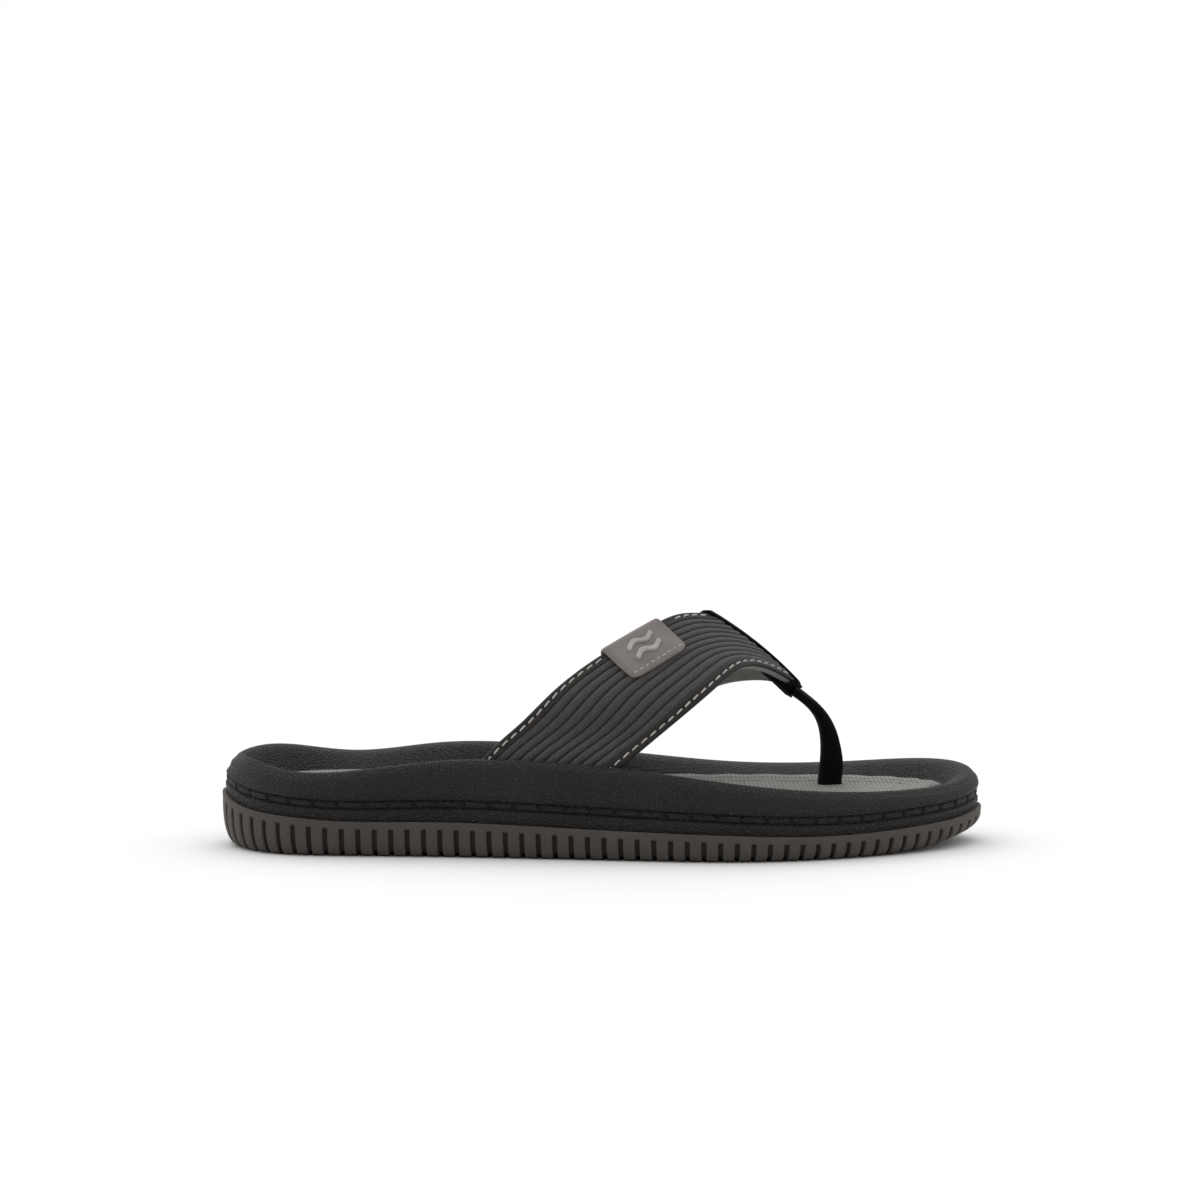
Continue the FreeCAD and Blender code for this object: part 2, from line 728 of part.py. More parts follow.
# ---------------------------------------------------------------- stitches
def stitch_row(path, length, pitch, radius):
    """Straight stitches along a path of points."""
    walked, stitches, begin, last = 0.0, [], None, path[0]
    for point in path[1:]:
        walked += point.distanceToPoint(last)
        last = point
        if begin is None and walked >= pitch - length:
            begin = point
        if begin is not None and walked >= pitch:
            stitches.append(Part.makeCylinder(radius, begin.distanceToPoint(point), begin, point - begin))
            begin, walked = None, 0.0
    return stitches


def path_on_strap(rows, margin, height, front=False):
    count = 1500
    path = []
    for n in range(count + 1):
        row = rows[0] + (rows[1] - rows[0]) * n / count
        share = 1 - share_of(row, margin, True) if front else share_of(row, margin)
        path.append(on_strap(row, share, height))
    return path


def strap_stitches(rows, front=False, skip=None):
    """Stitches along one edge of a strap, less those a tag covers."""
    height = STRAP_THICKNESS + size("stitch_radius") + 0.03
    spans = [rows] if skip is None else [(rows[0], skip[0]), (skip[1], rows[1])]
    made = []
    for span in spans:
        path = path_on_strap(span, size("stitch_margin"), height, front)
        made += stitch_row(path, size("stitch_length"), size("stitch_pitch"), size("stitch_radius"))
    return made


RIM_ROW = 1.15                 # the strap shows above the rim from about here
clear = STRIP_HALF + 0.08
tag_cover = (TAG_REAR - 0.1, TAG_FRONT + 0.1)
lateral_span, medial_span = (RIM_ROW, SEAM - clear), (SEAM + clear, LAST - RIM_ROW)
lateral_stitches = strap_stitches(lateral_span, skip=tag_cover) + strap_stitches(lateral_span, front=True)
medial_stitches = strap_stitches(medial_span) + strap_stitches(medial_span, front=True)
keep("lateral_strap_stitches", feature("lateral_thread", Part.Compound(lateral_stitches)))
keep("medial_strap_stitches", feature("medial_thread", Part.Compound(medial_stitches)))
tag_path = []
for n in range(401):
    row = TAG_REAR + 0.1 + (TAG_FRONT - TAG_REAR - 0.2) * n / 400
    tag_path.append(on_square(row, size("tag_reach") - 2.0, TAG_TOP + size("tag_thread_radius") + 0.03))
tag_row = stitch_row(tag_path, size("tag_stitch_length"), size("tag_stitch_pitch"), size("tag_thread_radius"))
keep("tag_stitches", feature("tag_thread", Part.Compound(tag_row)))


# ---------------------------------------------------------------- toe post and anchors
# Rows down the post: share of the way from the apex to the insole, forward bow, thickness and width as
# shares of those at the foot.
POST_ROWS = [(0.0, 0.0, 0.46, 2.0), (0.10, 0.36, 0.44, 1.95), (0.24, 0.72, 0.50, 1.6), (0.40, 0.92, 0.66, 1.3)]
POST_ROWS += [(0.58, 1.02, 0.82, 1.1), (0.78, 1.05, 0.98, 1.0), (1.0, 0.98, 1.0, 1.0), (1.4, 0.98, 1.0, 1.0)]
TWIST = 14.0


def post_shape(grow, bottom):
    """The webbing post from under the apex down to a level bottom."""
    base = Vector(size("post_along"), size("ridge_offset"), seat(size("post_along"), size("ridge_offset")))
    top = APEX + Vector(0.6, 0, 0.4)
    times = [i / 24 for i in range(25)]
    rows = []
    for n, (share, bow, thick, wide) in enumerate(POST_ROWS):
        x = top.x + (base.x - top.x) * bow
        z = top.z + (base.z - top.z) * share
        lean = math.radians(62) * max(0.0, 1 - share / 0.6)
        turn = math.radians(TWIST) * min(share, 1.0)
        if n == len(POST_ROWS) - 1:
            z = bottom
        half_x = size("post_length") * thick / 2 + grow
        half_y = size("post_width") * wide / 2 + grow
        row = []
        for t in times[:-1]:
            c, d = math.cos(2 * math.pi * t), math.sin(2 * math.pi * t)
            u = half_x * math.copysign(abs(c) ** 0.6, c)
            v = half_y * math.copysign(abs(d) ** 0.6, d)
            u, v = u * math.cos(turn) - v * math.sin(turn), u * math.sin(turn) + v * math.cos(turn)
            row.append(Vector(x + u * math.cos(lean), base.y + v, z + u * math.sin(lean)))
        rows.append(row)
    return tube(rows, times)


cup_floor = size("outsole_floor")
post_foot = cup_floor + size("anchor_thickness") + 0.2
post_tube = feature("post_tube", post_shape(0.0, post_foot))
ply_half = size("ply_half") / SPACING
ply_rows = (SEAM - ply_half, SEAM + ply_half)
ply_margins = lambda row: (share_of(row, size("tape_under") + 1.0), 1.04)
ply = feature("post_ply", strap_slab(ply_rows, ply_margins, (-GAP - size("ply_thickness"), -GAP)))
over_rows = (SEAM - 2.0, SEAM + 2.0)
over_margins = lambda row: (-0.2, 1.004)
over = strap_slab(over_rows, over_margins, (-0.4 * GAP, STRAP_THICKNESS + size("tape_thickness") + 2 * GAP))
strap_body = feature("strap_over_post", over)
post_trimmed = boolean("Cut", "post_trimmed", post_tube, strap_body)
keep("toe_post", boolean("Fuse", "toe_post_solid", post_trimmed, ply))


def bound(kind, name, **expressions):
    """A Part primitive whose sizes follow the sheet."""
    made = doc.addObject(f"Part::{kind}", name)
    for prop, expression in expressions.items():
        made.setExpression(prop, expression)
    return made


plate = bound("Cylinder", "post_plate", Radius="Sizes.anchor_diameter / 2", Height="Sizes.anchor_thickness")
plate.setExpression("Placement.Base.x", "Sizes.post_along")
plate.setExpression("Placement.Base.y", "Sizes.ridge_offset")
plate.setExpression("Placement.Base.z", "Sizes.outsole_floor + 0.1")
keep("toe_post_anchor", plate)
plate_seat = bound(
    "Cylinder", "post_plate_seat", Radius="Sizes.anchor_diameter / 2 + Sizes.slot_clearance",
    Height="Sizes.anchor_thickness + 0.1 + Sizes.slot_clearance"
)
plate_seat.setExpression("Placement.Base.x", "Sizes.post_along")
plate_seat.setExpression("Placement.Base.y", "Sizes.ridge_offset")
plate_seat.setExpression("Placement.Base.z", "Sizes.outsole_floor")

post_hole = feature("post_hole", post_shape(size("slot_clearance"), post_foot - 1))
cutters = [bowl, insole_blank, plate_seat, post_hole]


def strap_tab(side):
    """The L-shaped web tab under a strap's end, and the pocket it sits in."""
    medial = side == "medial"
    sign = 1 if medial else -1
    x = (size("strap_rear") + size("strap_front")) / 2
    time = outline_time(x, medial)
    at = on_outline(time, size("strap_inset"), cup_floor)
    direction = OUTLINE.tangent(time)[0]
    angle = math.degrees(math.atan(direction.y / direction.x))
    placement = FreeCAD.Placement(Vector(at.x, at.y, 0), FreeCAD.Rotation(Vector(0, 0, 1), angle))
    pieces = []
    for suffix, air in (("", "0"), ("_seat", "Sizes.slot_clearance")):
        web = bound(
            "Box", f"{side}_tab_web{suffix}", Length=f"Sizes.tab_length + 2 * {air}",
            Width=f"Sizes.tab_thickness + 2 * {air}",
            Height=f"Sizes.strap_end - Sizes.outsole_floor - 0.2 + {air}"
        )
        foot = bound(
            "Box", f"{side}_tab_foot{suffix}", Length=f"Sizes.tab_length + 2 * {air}",
            Width=f"Sizes.tab_foot + 2 * {air}", Height=f"Sizes.tab_thickness + {air}"
        )
        grow = size("slot_clearance") if suffix else 0.0
        inner = -sign * (size("tab_foot") - size("tab_thickness")) / 2
        for box, width, shift in ((web, size("tab_thickness"), 0.0), (foot, size("tab_foot"), inner)):
            lift = 0.0 if suffix else 0.1
            corner = Vector(-size("tab_length") / 2 - grow, -width / 2 - grow + shift, cup_floor + lift)
            box.Placement = placement.multiply(FreeCAD.Placement(corner, FreeCAD.Rotation()))
        pieces.append(boolean("Fuse", f"{side}_tab{suffix}_solid", web, foot))
    return pieces


for side, rows in (("lateral", (0.0, 1.9)), ("medial", (LAST - 1.9, LAST))):
    tab, tab_seat = strap_tab(side)
    keep(f"{side}_strap_anchor", tab)
    air = size("slot_clearance")
    slot_margins = lambda row: (share_of(row, -air), 1 - share_of(row, -air, True))
    slot = strap_slab(rows, slot_margins, (-air, STRAP_THICKNESS + air))
    cutters += [tab_seat, feature(f"{side}_strap_slot", slot)]

keep("midsole", cut_all("midsole_solid", foam_blank, cutters))
keep("footbed_insert", boolean("Cut", "insole_solid", insole_blank, post_hole))

cup_blank_cut = boolean("Cut", "cup_hollow", cup_blank, foam_blank)
cup_walls = boolean("Cut", "cup_wall_slots", cup_blank_cut, feature("wall_slots", wall_slots()))
keep("outsole", boolean("Cut", "outsole_solid", cup_walls, feature("tread_slots", tread_slots())))

# ---------------------------------------------------------------- checks and export
doc.recompute()
for item in doc.Objects:
    if "Invalid" in item.State or "Error" in item.State:
        raise RuntimeError(f"{item.Name} did not compute: {item.State}")
os.makedirs("parts", exist_ok=True)
for name, item in nodes.items():
    shape = item.Shape
    if not shape.isValid() or not shape.Solids:
        raise RuntimeError(f"{name} is not a valid solid")
    shape.exportStep(f"parts/{name}.step")
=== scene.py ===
"""Flip flop for Object Factory: the visible surfaces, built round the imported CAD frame.

Shapes are worked out in millimetres in the frame's axes (+X toe, +Y inner side, +Z up) and made into
meshes in metres. The sole's surfaces run in closed rows round its outline. The strap's pieces all lie on
one arched sheet, at a place along it, a place across it and a height above its foot side.
"""
import math

import bpy
import numpy as np
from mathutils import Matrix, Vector


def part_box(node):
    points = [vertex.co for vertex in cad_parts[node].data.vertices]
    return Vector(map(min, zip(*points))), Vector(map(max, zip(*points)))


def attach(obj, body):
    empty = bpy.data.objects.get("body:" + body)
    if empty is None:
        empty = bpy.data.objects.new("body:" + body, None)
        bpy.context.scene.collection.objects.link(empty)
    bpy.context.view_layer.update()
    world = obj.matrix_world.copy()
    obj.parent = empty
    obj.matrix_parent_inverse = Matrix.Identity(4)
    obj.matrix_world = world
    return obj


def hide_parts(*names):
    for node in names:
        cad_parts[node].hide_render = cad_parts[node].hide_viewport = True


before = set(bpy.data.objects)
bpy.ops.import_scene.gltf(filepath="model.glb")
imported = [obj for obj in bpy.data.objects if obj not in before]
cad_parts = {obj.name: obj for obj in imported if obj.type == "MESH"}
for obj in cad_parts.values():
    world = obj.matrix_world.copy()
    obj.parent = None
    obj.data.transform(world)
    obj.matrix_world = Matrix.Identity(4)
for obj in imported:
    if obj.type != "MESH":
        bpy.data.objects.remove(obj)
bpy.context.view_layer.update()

MM = 0.001


def span(node, axis):
    """Lowest and highest place of a CAD node along an axis, in millimetres."""
    low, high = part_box(node)
    return low[axis] / MM, high[axis] / MM


X, Y, Z = 0, 1, 2
HALF_LENGTH = (span("outsole", X)[1] - span("outsole", X)[0]) / 2
BALL_WIDTH = 0.9975 * (span("outsole", Y)[1] - span("outsole", Y)[0])
HEEL_WIDTH = 74.6
RIM_HEIGHT = 0.991 * span("midsole", Z)[1]
CUP_HEIGHT = 21.0
OUTSOLE_FLOOR = 5.0
CUP_WALL = 1.5
EDGE_TUCK = 9.0
HEEL_LEAN = 2.2
HEEL_SEAT, BALL_SEAT, TOE_SEAT = 25.3, 20.6, 21.6
SEAT_DISH, ARCH_LIFT, TOE_SPRING = 1.6, 3.2, 5.0
INSOLE_PROUD, INSOLE_DEPTH = 0.3, 2.5
MARGIN_LATERAL, MARGIN_MEDIAL = 11.5, 18.0
SLOT_PITCH, SLOT_WIDTH, SLOT_DEPTH = 6.1, 1.5, 1.25
GROOVE_PITCH, GROOVE_DEPTH = 11.0, 1.6
BAR_PITCH, BAR_GAP = 9.4, 1.3
CHANNEL_HEIGHT = 2.9

# Stations round the sole, from behind the heel along the lateral side: share of the half length, share of
# the local half width, rim height as a share of the highest, outsole lip as a share of the highest.
STATIONS = [
    (-1.000, 0.000, 0.950, 1.000),
    (-0.948, -0.536, 0.945, 0.825),
    (-0.834, -0.885, 0.860, 0.710),
    (-0.676, -1.000, 0.855, 0.630),
    (-0.448, -1.059, 0.965, 0.630),
    (-0.172, -1.035, 0.985, 0.586),
    (0.103, -1.033, 0.895, 0.520),
    (0.324, -1.000, 0.785, 0.476),
    (0.517, -0.915, 0.700, 0.430),
    (0.690, -0.726, 0.655, 0.443),
    (0.841, -0.472, 0.645, 0.505),
    (0.952, -0.160, 0.675, 0.581),
    (1.000, 0.151, 0.745, 0.667),
    (0.972, 0.453, 0.790, 0.620),
    (0.876, 0.717, 0.785, 0.540),
    (0.717, 0.906, 0.730, 0.470),
    (0.517, 0.990, 0.690, 0.435),
    (0.345, 1.000, 0.705, 0.476),
    (0.103, 0.975, 0.810, 0.520),
    (-0.172, 0.930, 0.935, 0.586),
    (-0.448, 1.005, 0.960, 0.630),
    (-0.676, 0.992, 0.880, 0.630),
    (-0.834, 0.885, 0.950, 0.710),
    (-0.948, 0.536, 0.985, 0.825),
]


# ---------------------------------------------------------------- curves
class Spline:
    """A smooth cubic through values at given times. A closed one repeats after its last time."""

    def __init__(self, times, values, closed=False):
        self.times = np.asarray(times, float)
        self.values = np.asarray(values, float)
        self.closed = closed
        n = len(self.values)
        system = np.zeros((n, n))
        right = np.zeros_like(self.values)
        gap = np.diff(self.times)
        for i in range(n):
            if not closed and i in (0, n - 1):
                system[i, i] = 1
                four = self.values[:4] if i == 0 else -self.values[::-1][:4]
                right[i] = (-11 * four[0] + 18 * four[1] - 9 * four[2] + 2 * four[3]) / 6 / gap[0]
                continue
            before, after = gap[i - 1], gap[i % len(gap)]
            last, following = (i - 1) % n, (i + 1) % n
            system[i, last] += 1 / before
            system[i, i] += 2 / before + 2 / after
            system[i, following] += 1 / after
            right[i] = 3 * (self.values[i] - self.values[last]) / before ** 2
            right[i] += 3 * (self.values[following] - self.values[i]) / after ** 2
        slopes = np.linalg.solve(system, right.reshape(n, -1))
        self.slopes = slopes.reshape(self.values.shape)

    def at(self, t, order=0):
        """Values at times t, or their slopes when order is 1."""
        t = np.atleast_1d(np.asarray(t, float))
        if self.closed:
            t = t % self.times[-1]
        i = np.clip(np.searchsorted(self.times, t, "right") - 1, 0, len(self.times) - 2)
        h = self.times[i + 1] - self.times[i]
        s = (t - self.times[i]) / h
        j = (i + 1) % len(self.values)
        if order == 0:
            shares = (2 * s ** 3 - 3 * s ** 2 + 1, 3 * s ** 2 - 2 * s ** 3)
            pulls = (h * (s ** 3 - 2 * s ** 2 + s), h * (s ** 3 - s ** 2))
        else:
            shares = ((6 * s ** 2 - 6 * s) / h, (6 * s - 6 * s ** 2) / h)
            pulls = (3 * s ** 2 - 4 * s + 1, 3 * s ** 2 - 2 * s)
        more = (slice(None),) + (None,) * (self.values.ndim - 1)
        total = shares[0][more] * self.values[i] + shares[1][more] * self.values[j]
        return total + pulls[0][more] * self.slopes[i] + pulls[1][more] * self.slopes[j]


def rounded(points, times):
    """A curve drawn along control rows, at shares from 0 to 1: points is rows x columns x values."""
    points = np.asarray(points, float)
    n = len(points)
    t = np.clip(np.asarray(times, float), 0, 1 - 1e-9)[:, None] * (n - 2)
    knots = np.concatenate([[0, 0], np.arange(n - 1), [n - 2, n - 2]]).astype(float)
    shares = ((knots[:-1] <= t) & (t < knots[1:])).astype(float)
    for degree in (1, 2):
        rise = knots[degree:-1] - knots[:-degree - 1]
        fall = knots[degree + 1:] - knots[1:-degree]
        up = (t - knots[:-degree - 1]) / np.where(rise > 0, rise, 1) * (rise > 0)
        down = (knots[degree + 1:] - t) / np.where(fall > 0, fall, 1) * (fall > 0)
        shares = up * shares[:, :-1] + down * shares[:, 1:]
    return np.tensordot(shares, points, 1)


def ease(low, high, x):
    """0 below low, 1 above high, easing in and out between them."""
    t = np.clip((x - low) / (high - low), 0, 1)
    return t * t * (3 - 2 * t)


def unit(vectors):
    return vectors / np.linalg.norm(vectors, axis=-1, keepdims=True)


def distances(points):
    """How far along a line of points each one is, from 0."""
    return np.concatenate([[0], np.cumsum(np.linalg.norm(np.diff(points, axis=0), axis=1))])


def profile(rows, one):
    """Control points of a wall: rows of (inset, height), each spread over the columns of one."""
    return np.stack([np.stack([inset * one, z], -1) for inset, z in rows])


# ---------------------------------------------------------------- shape of the sole
def half_width(x):
    t = np.clip((x / HALF_LENGTH + 0.45) / 0.77, 0, 1)
    return ((1 - t) * HEEL_WIDTH + t * BALL_WIDTH) / 2


def ground(x):
    toe = np.maximum(0, (x - 0.55 * HALF_LENGTH) / (0.45 * HALF_LENGTH))
    heel = np.maximum(0, (-x - 0.86 * HALF_LENGTH) / (0.14 * HALF_LENGTH))
    return TOE_SPRING * (toe ** 3 + 0.15 * heel ** 2)


def seat(x, y):
    """Top of the footbed."""
    along = HEEL_SEAT + (BALL_SEAT - HEEL_SEAT) * ease(-0.45 * HALF_LENGTH, 0.35 * HALF_LENGTH, x)
    along = along + (TOE_SEAT - BALL_SEAT) * ease(0.5 * HALF_LENGTH, HALF_LENGTH, x)
    share = y / half_width(x)
    arch = ARCH_LIFT * np.exp(-((x / HALF_LENGTH + 0.22) / 0.3) ** 2)
    return along + SEAT_DISH * share ** 2 + arch * np.maximum(0, share) ** 2


table = np.array(STATIONS)
station_x = table[:, 0] * HALF_LENGTH
station_points = np.stack([station_x, table[:, 1] * half_width(station_x)], 1)
steps = np.linalg.norm(np.roll(station_points, -1, 0) - station_points, axis=1)
station_times = np.concatenate([[0], np.cumsum(steps)])
ROUND = station_times[-1]
heights = np.stack([RIM_HEIGHT * table[:, 2], CUP_HEIGHT * table[:, 3]], 1)
OUTLINE = Spline(station_times, np.concatenate([station_points, heights], 1), closed=True)


class Rim:
    """The sole's outline at a set of times: places, inward directions, and rim, lip and channel heights."""

    def __init__(self, times):
        values, slopes = OUTLINE.at(times), OUTLINE.at(times, 1)
        self.xy = values[:, :2]
        self.rim, self.lip = values[:, 2], values[:, 3]
        along = unit(slopes[:, :2])
        self.inward = np.stack([-along[:, 1], along[:, 0]], 1)
        self.low = ground(self.xy[:, 0])
        self.tuck = EDGE_TUCK * (1 + 0.6 * ease(0.82 * HALF_LENGTH, HALF_LENGTH, self.xy[:, 0]))
        self.lean = HEEL_LEAN * (1 - ease(-0.97 * HALF_LENGTH, -0.72 * HALF_LENGTH, self.xy[:, 0]))
        self.channel_top = self.lip + 4.9 + 0.145 * (self.rim - self.lip)
        self.channel_low = self.channel_top - CHANNEL_HEIGHT
        side = ease(-0.5, 0.6, self.xy[:, 1] / half_width(self.xy[:, 0]))
        self.margin = MARGIN_LATERAL + (MARGIN_MEDIAL - MARGIN_LATERAL) * side

    def place(self, insets, z):
        """Points inset from the outline: rows x columns x 3."""
        xy = self.xy[None] + self.inward[None] * insets[..., None]
        return np.concatenate([xy, z[..., None]], -1)

    def spine(self, inset, share, z_of):
        """Rows that run from an inset edge to the sole's middle line."""
        edge = self.xy + self.inward * inset[:, None]
        middle_x = np.clip(edge[:, 0], -0.66 * HALF_LENGTH, 0.62 * HALF_LENGTH)
        middle = np.stack([middle_x, 0.04 * middle_x + 1.5], 1)
        share = np.asarray(share)[:, None, None]
        xy = edge[None] * (1 - share) + middle[None] * share
        return np.concatenate([xy, z_of(xy[..., 0], xy[..., 1])[..., None]], -1)


# ---------------------------------------------------------------- meshes
def outward_normals(grid):
    """Unit normals of a grid of points, rows x columns x 3, whose last column joins the first."""
    down = np.gradient(grid, axis=0)
    across = (np.roll(grid, -1, 1) - np.roll(grid, 1, 1)) / 2
    normal = np.cross(across, down)
    length = np.linalg.norm(normal, axis=-1, keepdims=True)
    return normal / np.maximum(length, 1e-9)


def grid_faces(rows, columns, closed, start=0):
    """Quads of a grid and, for each corner, the row and column it stands for."""
    last = columns if closed else columns - 1
    r, c = np.meshgrid(np.arange(rows - 1), np.arange(last), indexing="ij")
    r, c = r.ravel(), c.ravel()
    rr = np.stack([r, r, r + 1, r + 1], 1)
    cc = np.stack([c, c + 1, c + 1, c], 1)
    return start + rr * columns + cc % columns, rr, cc


class Build:
    """Collects grids into one mesh, each with coordinates in millimetres for its pattern."""

    def __init__(self):
        self.points, self.faces, self.maps, self.marks = [], [], [], []
        self.count = 0

    def grid(self, points, closed=False, u=None, v=None, mark=None, flip=False, ends=False):
        """Adds a grid. u and v are its pattern coordinates; mark is a value per point for the material.

        ends closes the first and last row with a fan.
        """
        rows, columns = points.shape[:2]
        faces, rr, cc = grid_faces(rows, columns, closed, self.count)
        u = np.arange(columns + 1.0) if u is None else np.asarray(u, float)
        v = np.arange(float(rows)) if v is None else np.asarray(v, float)
        uu = u[rr, cc] if u.ndim == 2 else u[cc]
        vv = v[rr, np.minimum(cc, v.shape[1] - 1)] if v.ndim == 2 else v[rr]
        mapped = np.stack([uu, vv], -1)
        if flip:
            faces, mapped = faces[:, ::-1], mapped[:, ::-1]
        self.points.append(points.reshape(-1, 3))
        self.marks.append(np.broadcast_to(0.0 if mark is None else mark, (rows, columns)).ravel())
        self.faces.append(faces)
        self.maps.append(mapped)
        if ends:
            for row in (0, rows - 1):
                self._fan(row, rows, columns, points, flip != (row != 0), u, v)
        self.count = sum(len(p) for p in self.points)
        return self

    def _fan(self, row, rows, columns, points, turned, u, v):
        middle = points[row].mean(0)
        self.points.append(middle[None])
        self.marks.append(np.zeros(1))
        index = self.count + rows * columns + (0 if row == 0 else 1)
        ring = self.count + row * columns + np.arange(columns)
        after = np.roll(ring, -1)
        tri = np.stack([after, ring, np.full(columns, index)], 1)
        if turned:
            tri = tri[:, ::-1]
        self.faces.append(tri)
        self.maps.append(np.zeros((columns, 3, 2)))

    def mesh(self, name):
        """The mesh, in metres, with its pattern map in millimetres and its marks."""
        points = np.concatenate(self.points) * MM
        mesh = bpy.data.meshes.new(name)
        corners = np.concatenate([f.ravel() for f in self.faces])
        sizes = np.concatenate([np.full(len(f), f.shape[1]) for f in self.faces])
        mesh.vertices.add(len(points))
        mesh.vertices.foreach_set("co", points.ravel().astype(np.float32))
        mesh.loops.add(len(corners))
        mesh.loops.foreach_set("vertex_index", corners.astype(np.int32))
        mesh.polygons.add(len(sizes))
        mesh.polygons.foreach_set("loop_start", (np.cumsum(sizes) - sizes).astype(np.int32))
        mesh.polygons.foreach_set("loop_total", sizes.astype(np.int32))
        mesh.update(calc_edges=True)
        layer = mesh.uv_layers.new(name="pattern_mm")
        maps = np.concatenate([m.reshape(-1, 2) for m in self.maps])
        layer.uv.foreach_set("vector", maps.ravel().astype(np.float32))
        marks = mesh.attributes.new("mark", "FLOAT", "POINT")
        marks.data.foreach_set("value", np.concatenate(self.marks).astype(np.float32))
        mesh.polygons.foreach_set("use_smooth", np.ones(len(sizes), bool))
        mesh.validate()
        return mesh


def in_scene(name, data):
    made = bpy.data.objects.new(name, data)
    bpy.context.scene.collection.objects.link(made)
    return made


def piece(name, build, material, node):
    """A visible piece that stands for a CAD node and rides on the one body."""
    made = in_scene(name, build.mesh(name))
    made.data.materials.append(material)
    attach(made, "root")
    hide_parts(node)
    return made


# ---------------------------------------------------------------- materials
def linear(r, g, b):
    """A colour given as 0 to 255 display values."""
    def one(v):
        v /= 255
        return v / 12.92 if v <= 0.04045 else ((v + 0.055) / 1.055) ** 2.4
    return one(r), one(g), one(b), 1.0


class Finish:
    """A material made of nodes: colour, roughness and bump are built up in turn, then joined."""

    def __init__(self, name, **values):
        self.material = bpy.data.materials.new(name)
        self.material.use_nodes = True
        self.nodes = self.material.node_tree.nodes
        self.links = self.material.node_tree.links
        self.shader = self.nodes["Principled BSDF"]
        for socket, value in values.items():
            self.shader.inputs[socket.replace("_", " ")].default_value = value
        self.object = self.add("ShaderNodeTexCoord").outputs["Object"]
        self.bump = None

    def add(self, kind, settings=None, **inputs):
        node = self.nodes.new(kind)
        for key, value in (settings or {}).items():
            setattr(node, key, value)
        for key, value in inputs.items():
            self.feed(node.inputs[key.replace("_", " ")], value)
        return node

    def feed(self, socket, value):
        if isinstance(value, bpy.types.NodeSocket):
            self.links.new(value, socket)
        else:
            socket.default_value = value

    def pattern(self):
        """The piece's own coordinates, in millimetres along and across it."""
        return self.add("ShaderNodeUVMap", {"uv_map": "pattern_mm"}).outputs["UV"]

    def mark(self):
        return self.add("ShaderNodeAttribute", {"attribute_name": "mark"}).outputs["Fac"]

    def scaled(self, vector, x, y, z=1.0):
        return self.add("ShaderNodeMapping", Vector=vector, Scale=(x, y, z)).outputs["Vector"]

    def noise(self, vector, scale, detail=4.0, rough=0.55):
        node = self.add("ShaderNodeTexNoise", Vector=vector, Scale=scale, Detail=detail, Roughness=rough)
        return node.outputs["Fac"]

    def cells(self, vector, scale, feature="F1", randomness=1.0):
        settings = {"feature": feature}
        node = self.add("ShaderNodeTexVoronoi", settings, Vector=vector, Scale=scale, Randomness=randomness)
        return node.outputs["Distance"]

    def bands(self, vector, way, scale):
        return self.add("ShaderNodeTexWave", {"bands_direction": way}, Vector=vector, Scale=scale)

    def math(self, operation, a, b=None, clamp=False):
        node = self.add("ShaderNodeMath", {"operation": operation, "use_clamp": clamp})
        self.feed(node.inputs[0], a)
        if b is not None:
            self.feed(node.inputs[1], b)
        return node.outputs[0]

    def span(self, value, low, high, to_low=0.0, to_high=1.0):
        node = self.add("ShaderNodeMapRange", Value=value)
        for key, v in (("From Min", low), ("From Max", high), ("To Min", to_low), ("To Max", to_high)):
            node.inputs[key].default_value = v
        return node.outputs["Result"]

    def mix(self, share, first, second):
        node = self.add("ShaderNodeMix", {"data_type": "RGBA"})
        self.feed(node.inputs["Factor"], share)
        self.feed([i for i in node.inputs if i.name == "A" and i.type == "RGBA"][0], first)
        self.feed([i for i in node.inputs if i.name == "B" and i.type == "RGBA"][0], second)
        return [o for o in node.outputs if o.type == "RGBA"][0]

    def shades(self, height, dark, light, low=0.3, high=0.7):
        """A colour that goes from dark to light with a height."""
        return self.mix(self.span(height, low, high), dark, light)

    def painted_shade_in_hollows(self, height, top, amount, colour, dark):
        """Painted shade in the hollows of a relief: the colour mixed with an amount of a dark one where a
        height is 0, and none from top up.
        """
        return self.mix(self.span(height, 0.0, top, amount, 0.0), colour, dark)

    def raise_by(self, height, distance, strength=1.0):
        """Adds relief: distance is its depth in metres."""
        node = self.add("ShaderNodeBump", Height=height, Distance=distance, Strength=strength)
        if self.bump is not None:
            self.links.new(self.bump, node.inputs["Normal"])
        self.bump = node.outputs["Normal"]

    def done(self, colour, roughness=None):
        self.links.new(colour, self.shader.inputs["Base Color"])
        if roughness is not None:
            self.links.new(roughness, self.shader.inputs["Roughness"])
        if self.bump is not None:
            self.links.new(self.bump, self.shader.inputs["Normal"])
        return self.material


def rubber_finish():
    f = Finish("outsole_rubber", Specular_IOR_Level=0.3)
    cloud = f.noise(f.object, 60.0)
    grain = f.noise(f.object, 2600.0, 3.0)
    colour = f.shades(cloud, linear(66, 60, 56), linear(78, 72, 67))
    colour = f.mix(f.span(grain, 0.35, 0.75, 0.0, 0.3), colour, linear(92, 85, 79))
    # painted shade: near-black in the wall's slots and the tread's grooves, following the mark
    colour = f.mix(f.mark(), colour, linear(12, 10, 9))
    f.raise_by(grain, 0.00008)
    return f.done(colour, f.span(cloud, 0.3, 0.7, 0.55, 0.7))


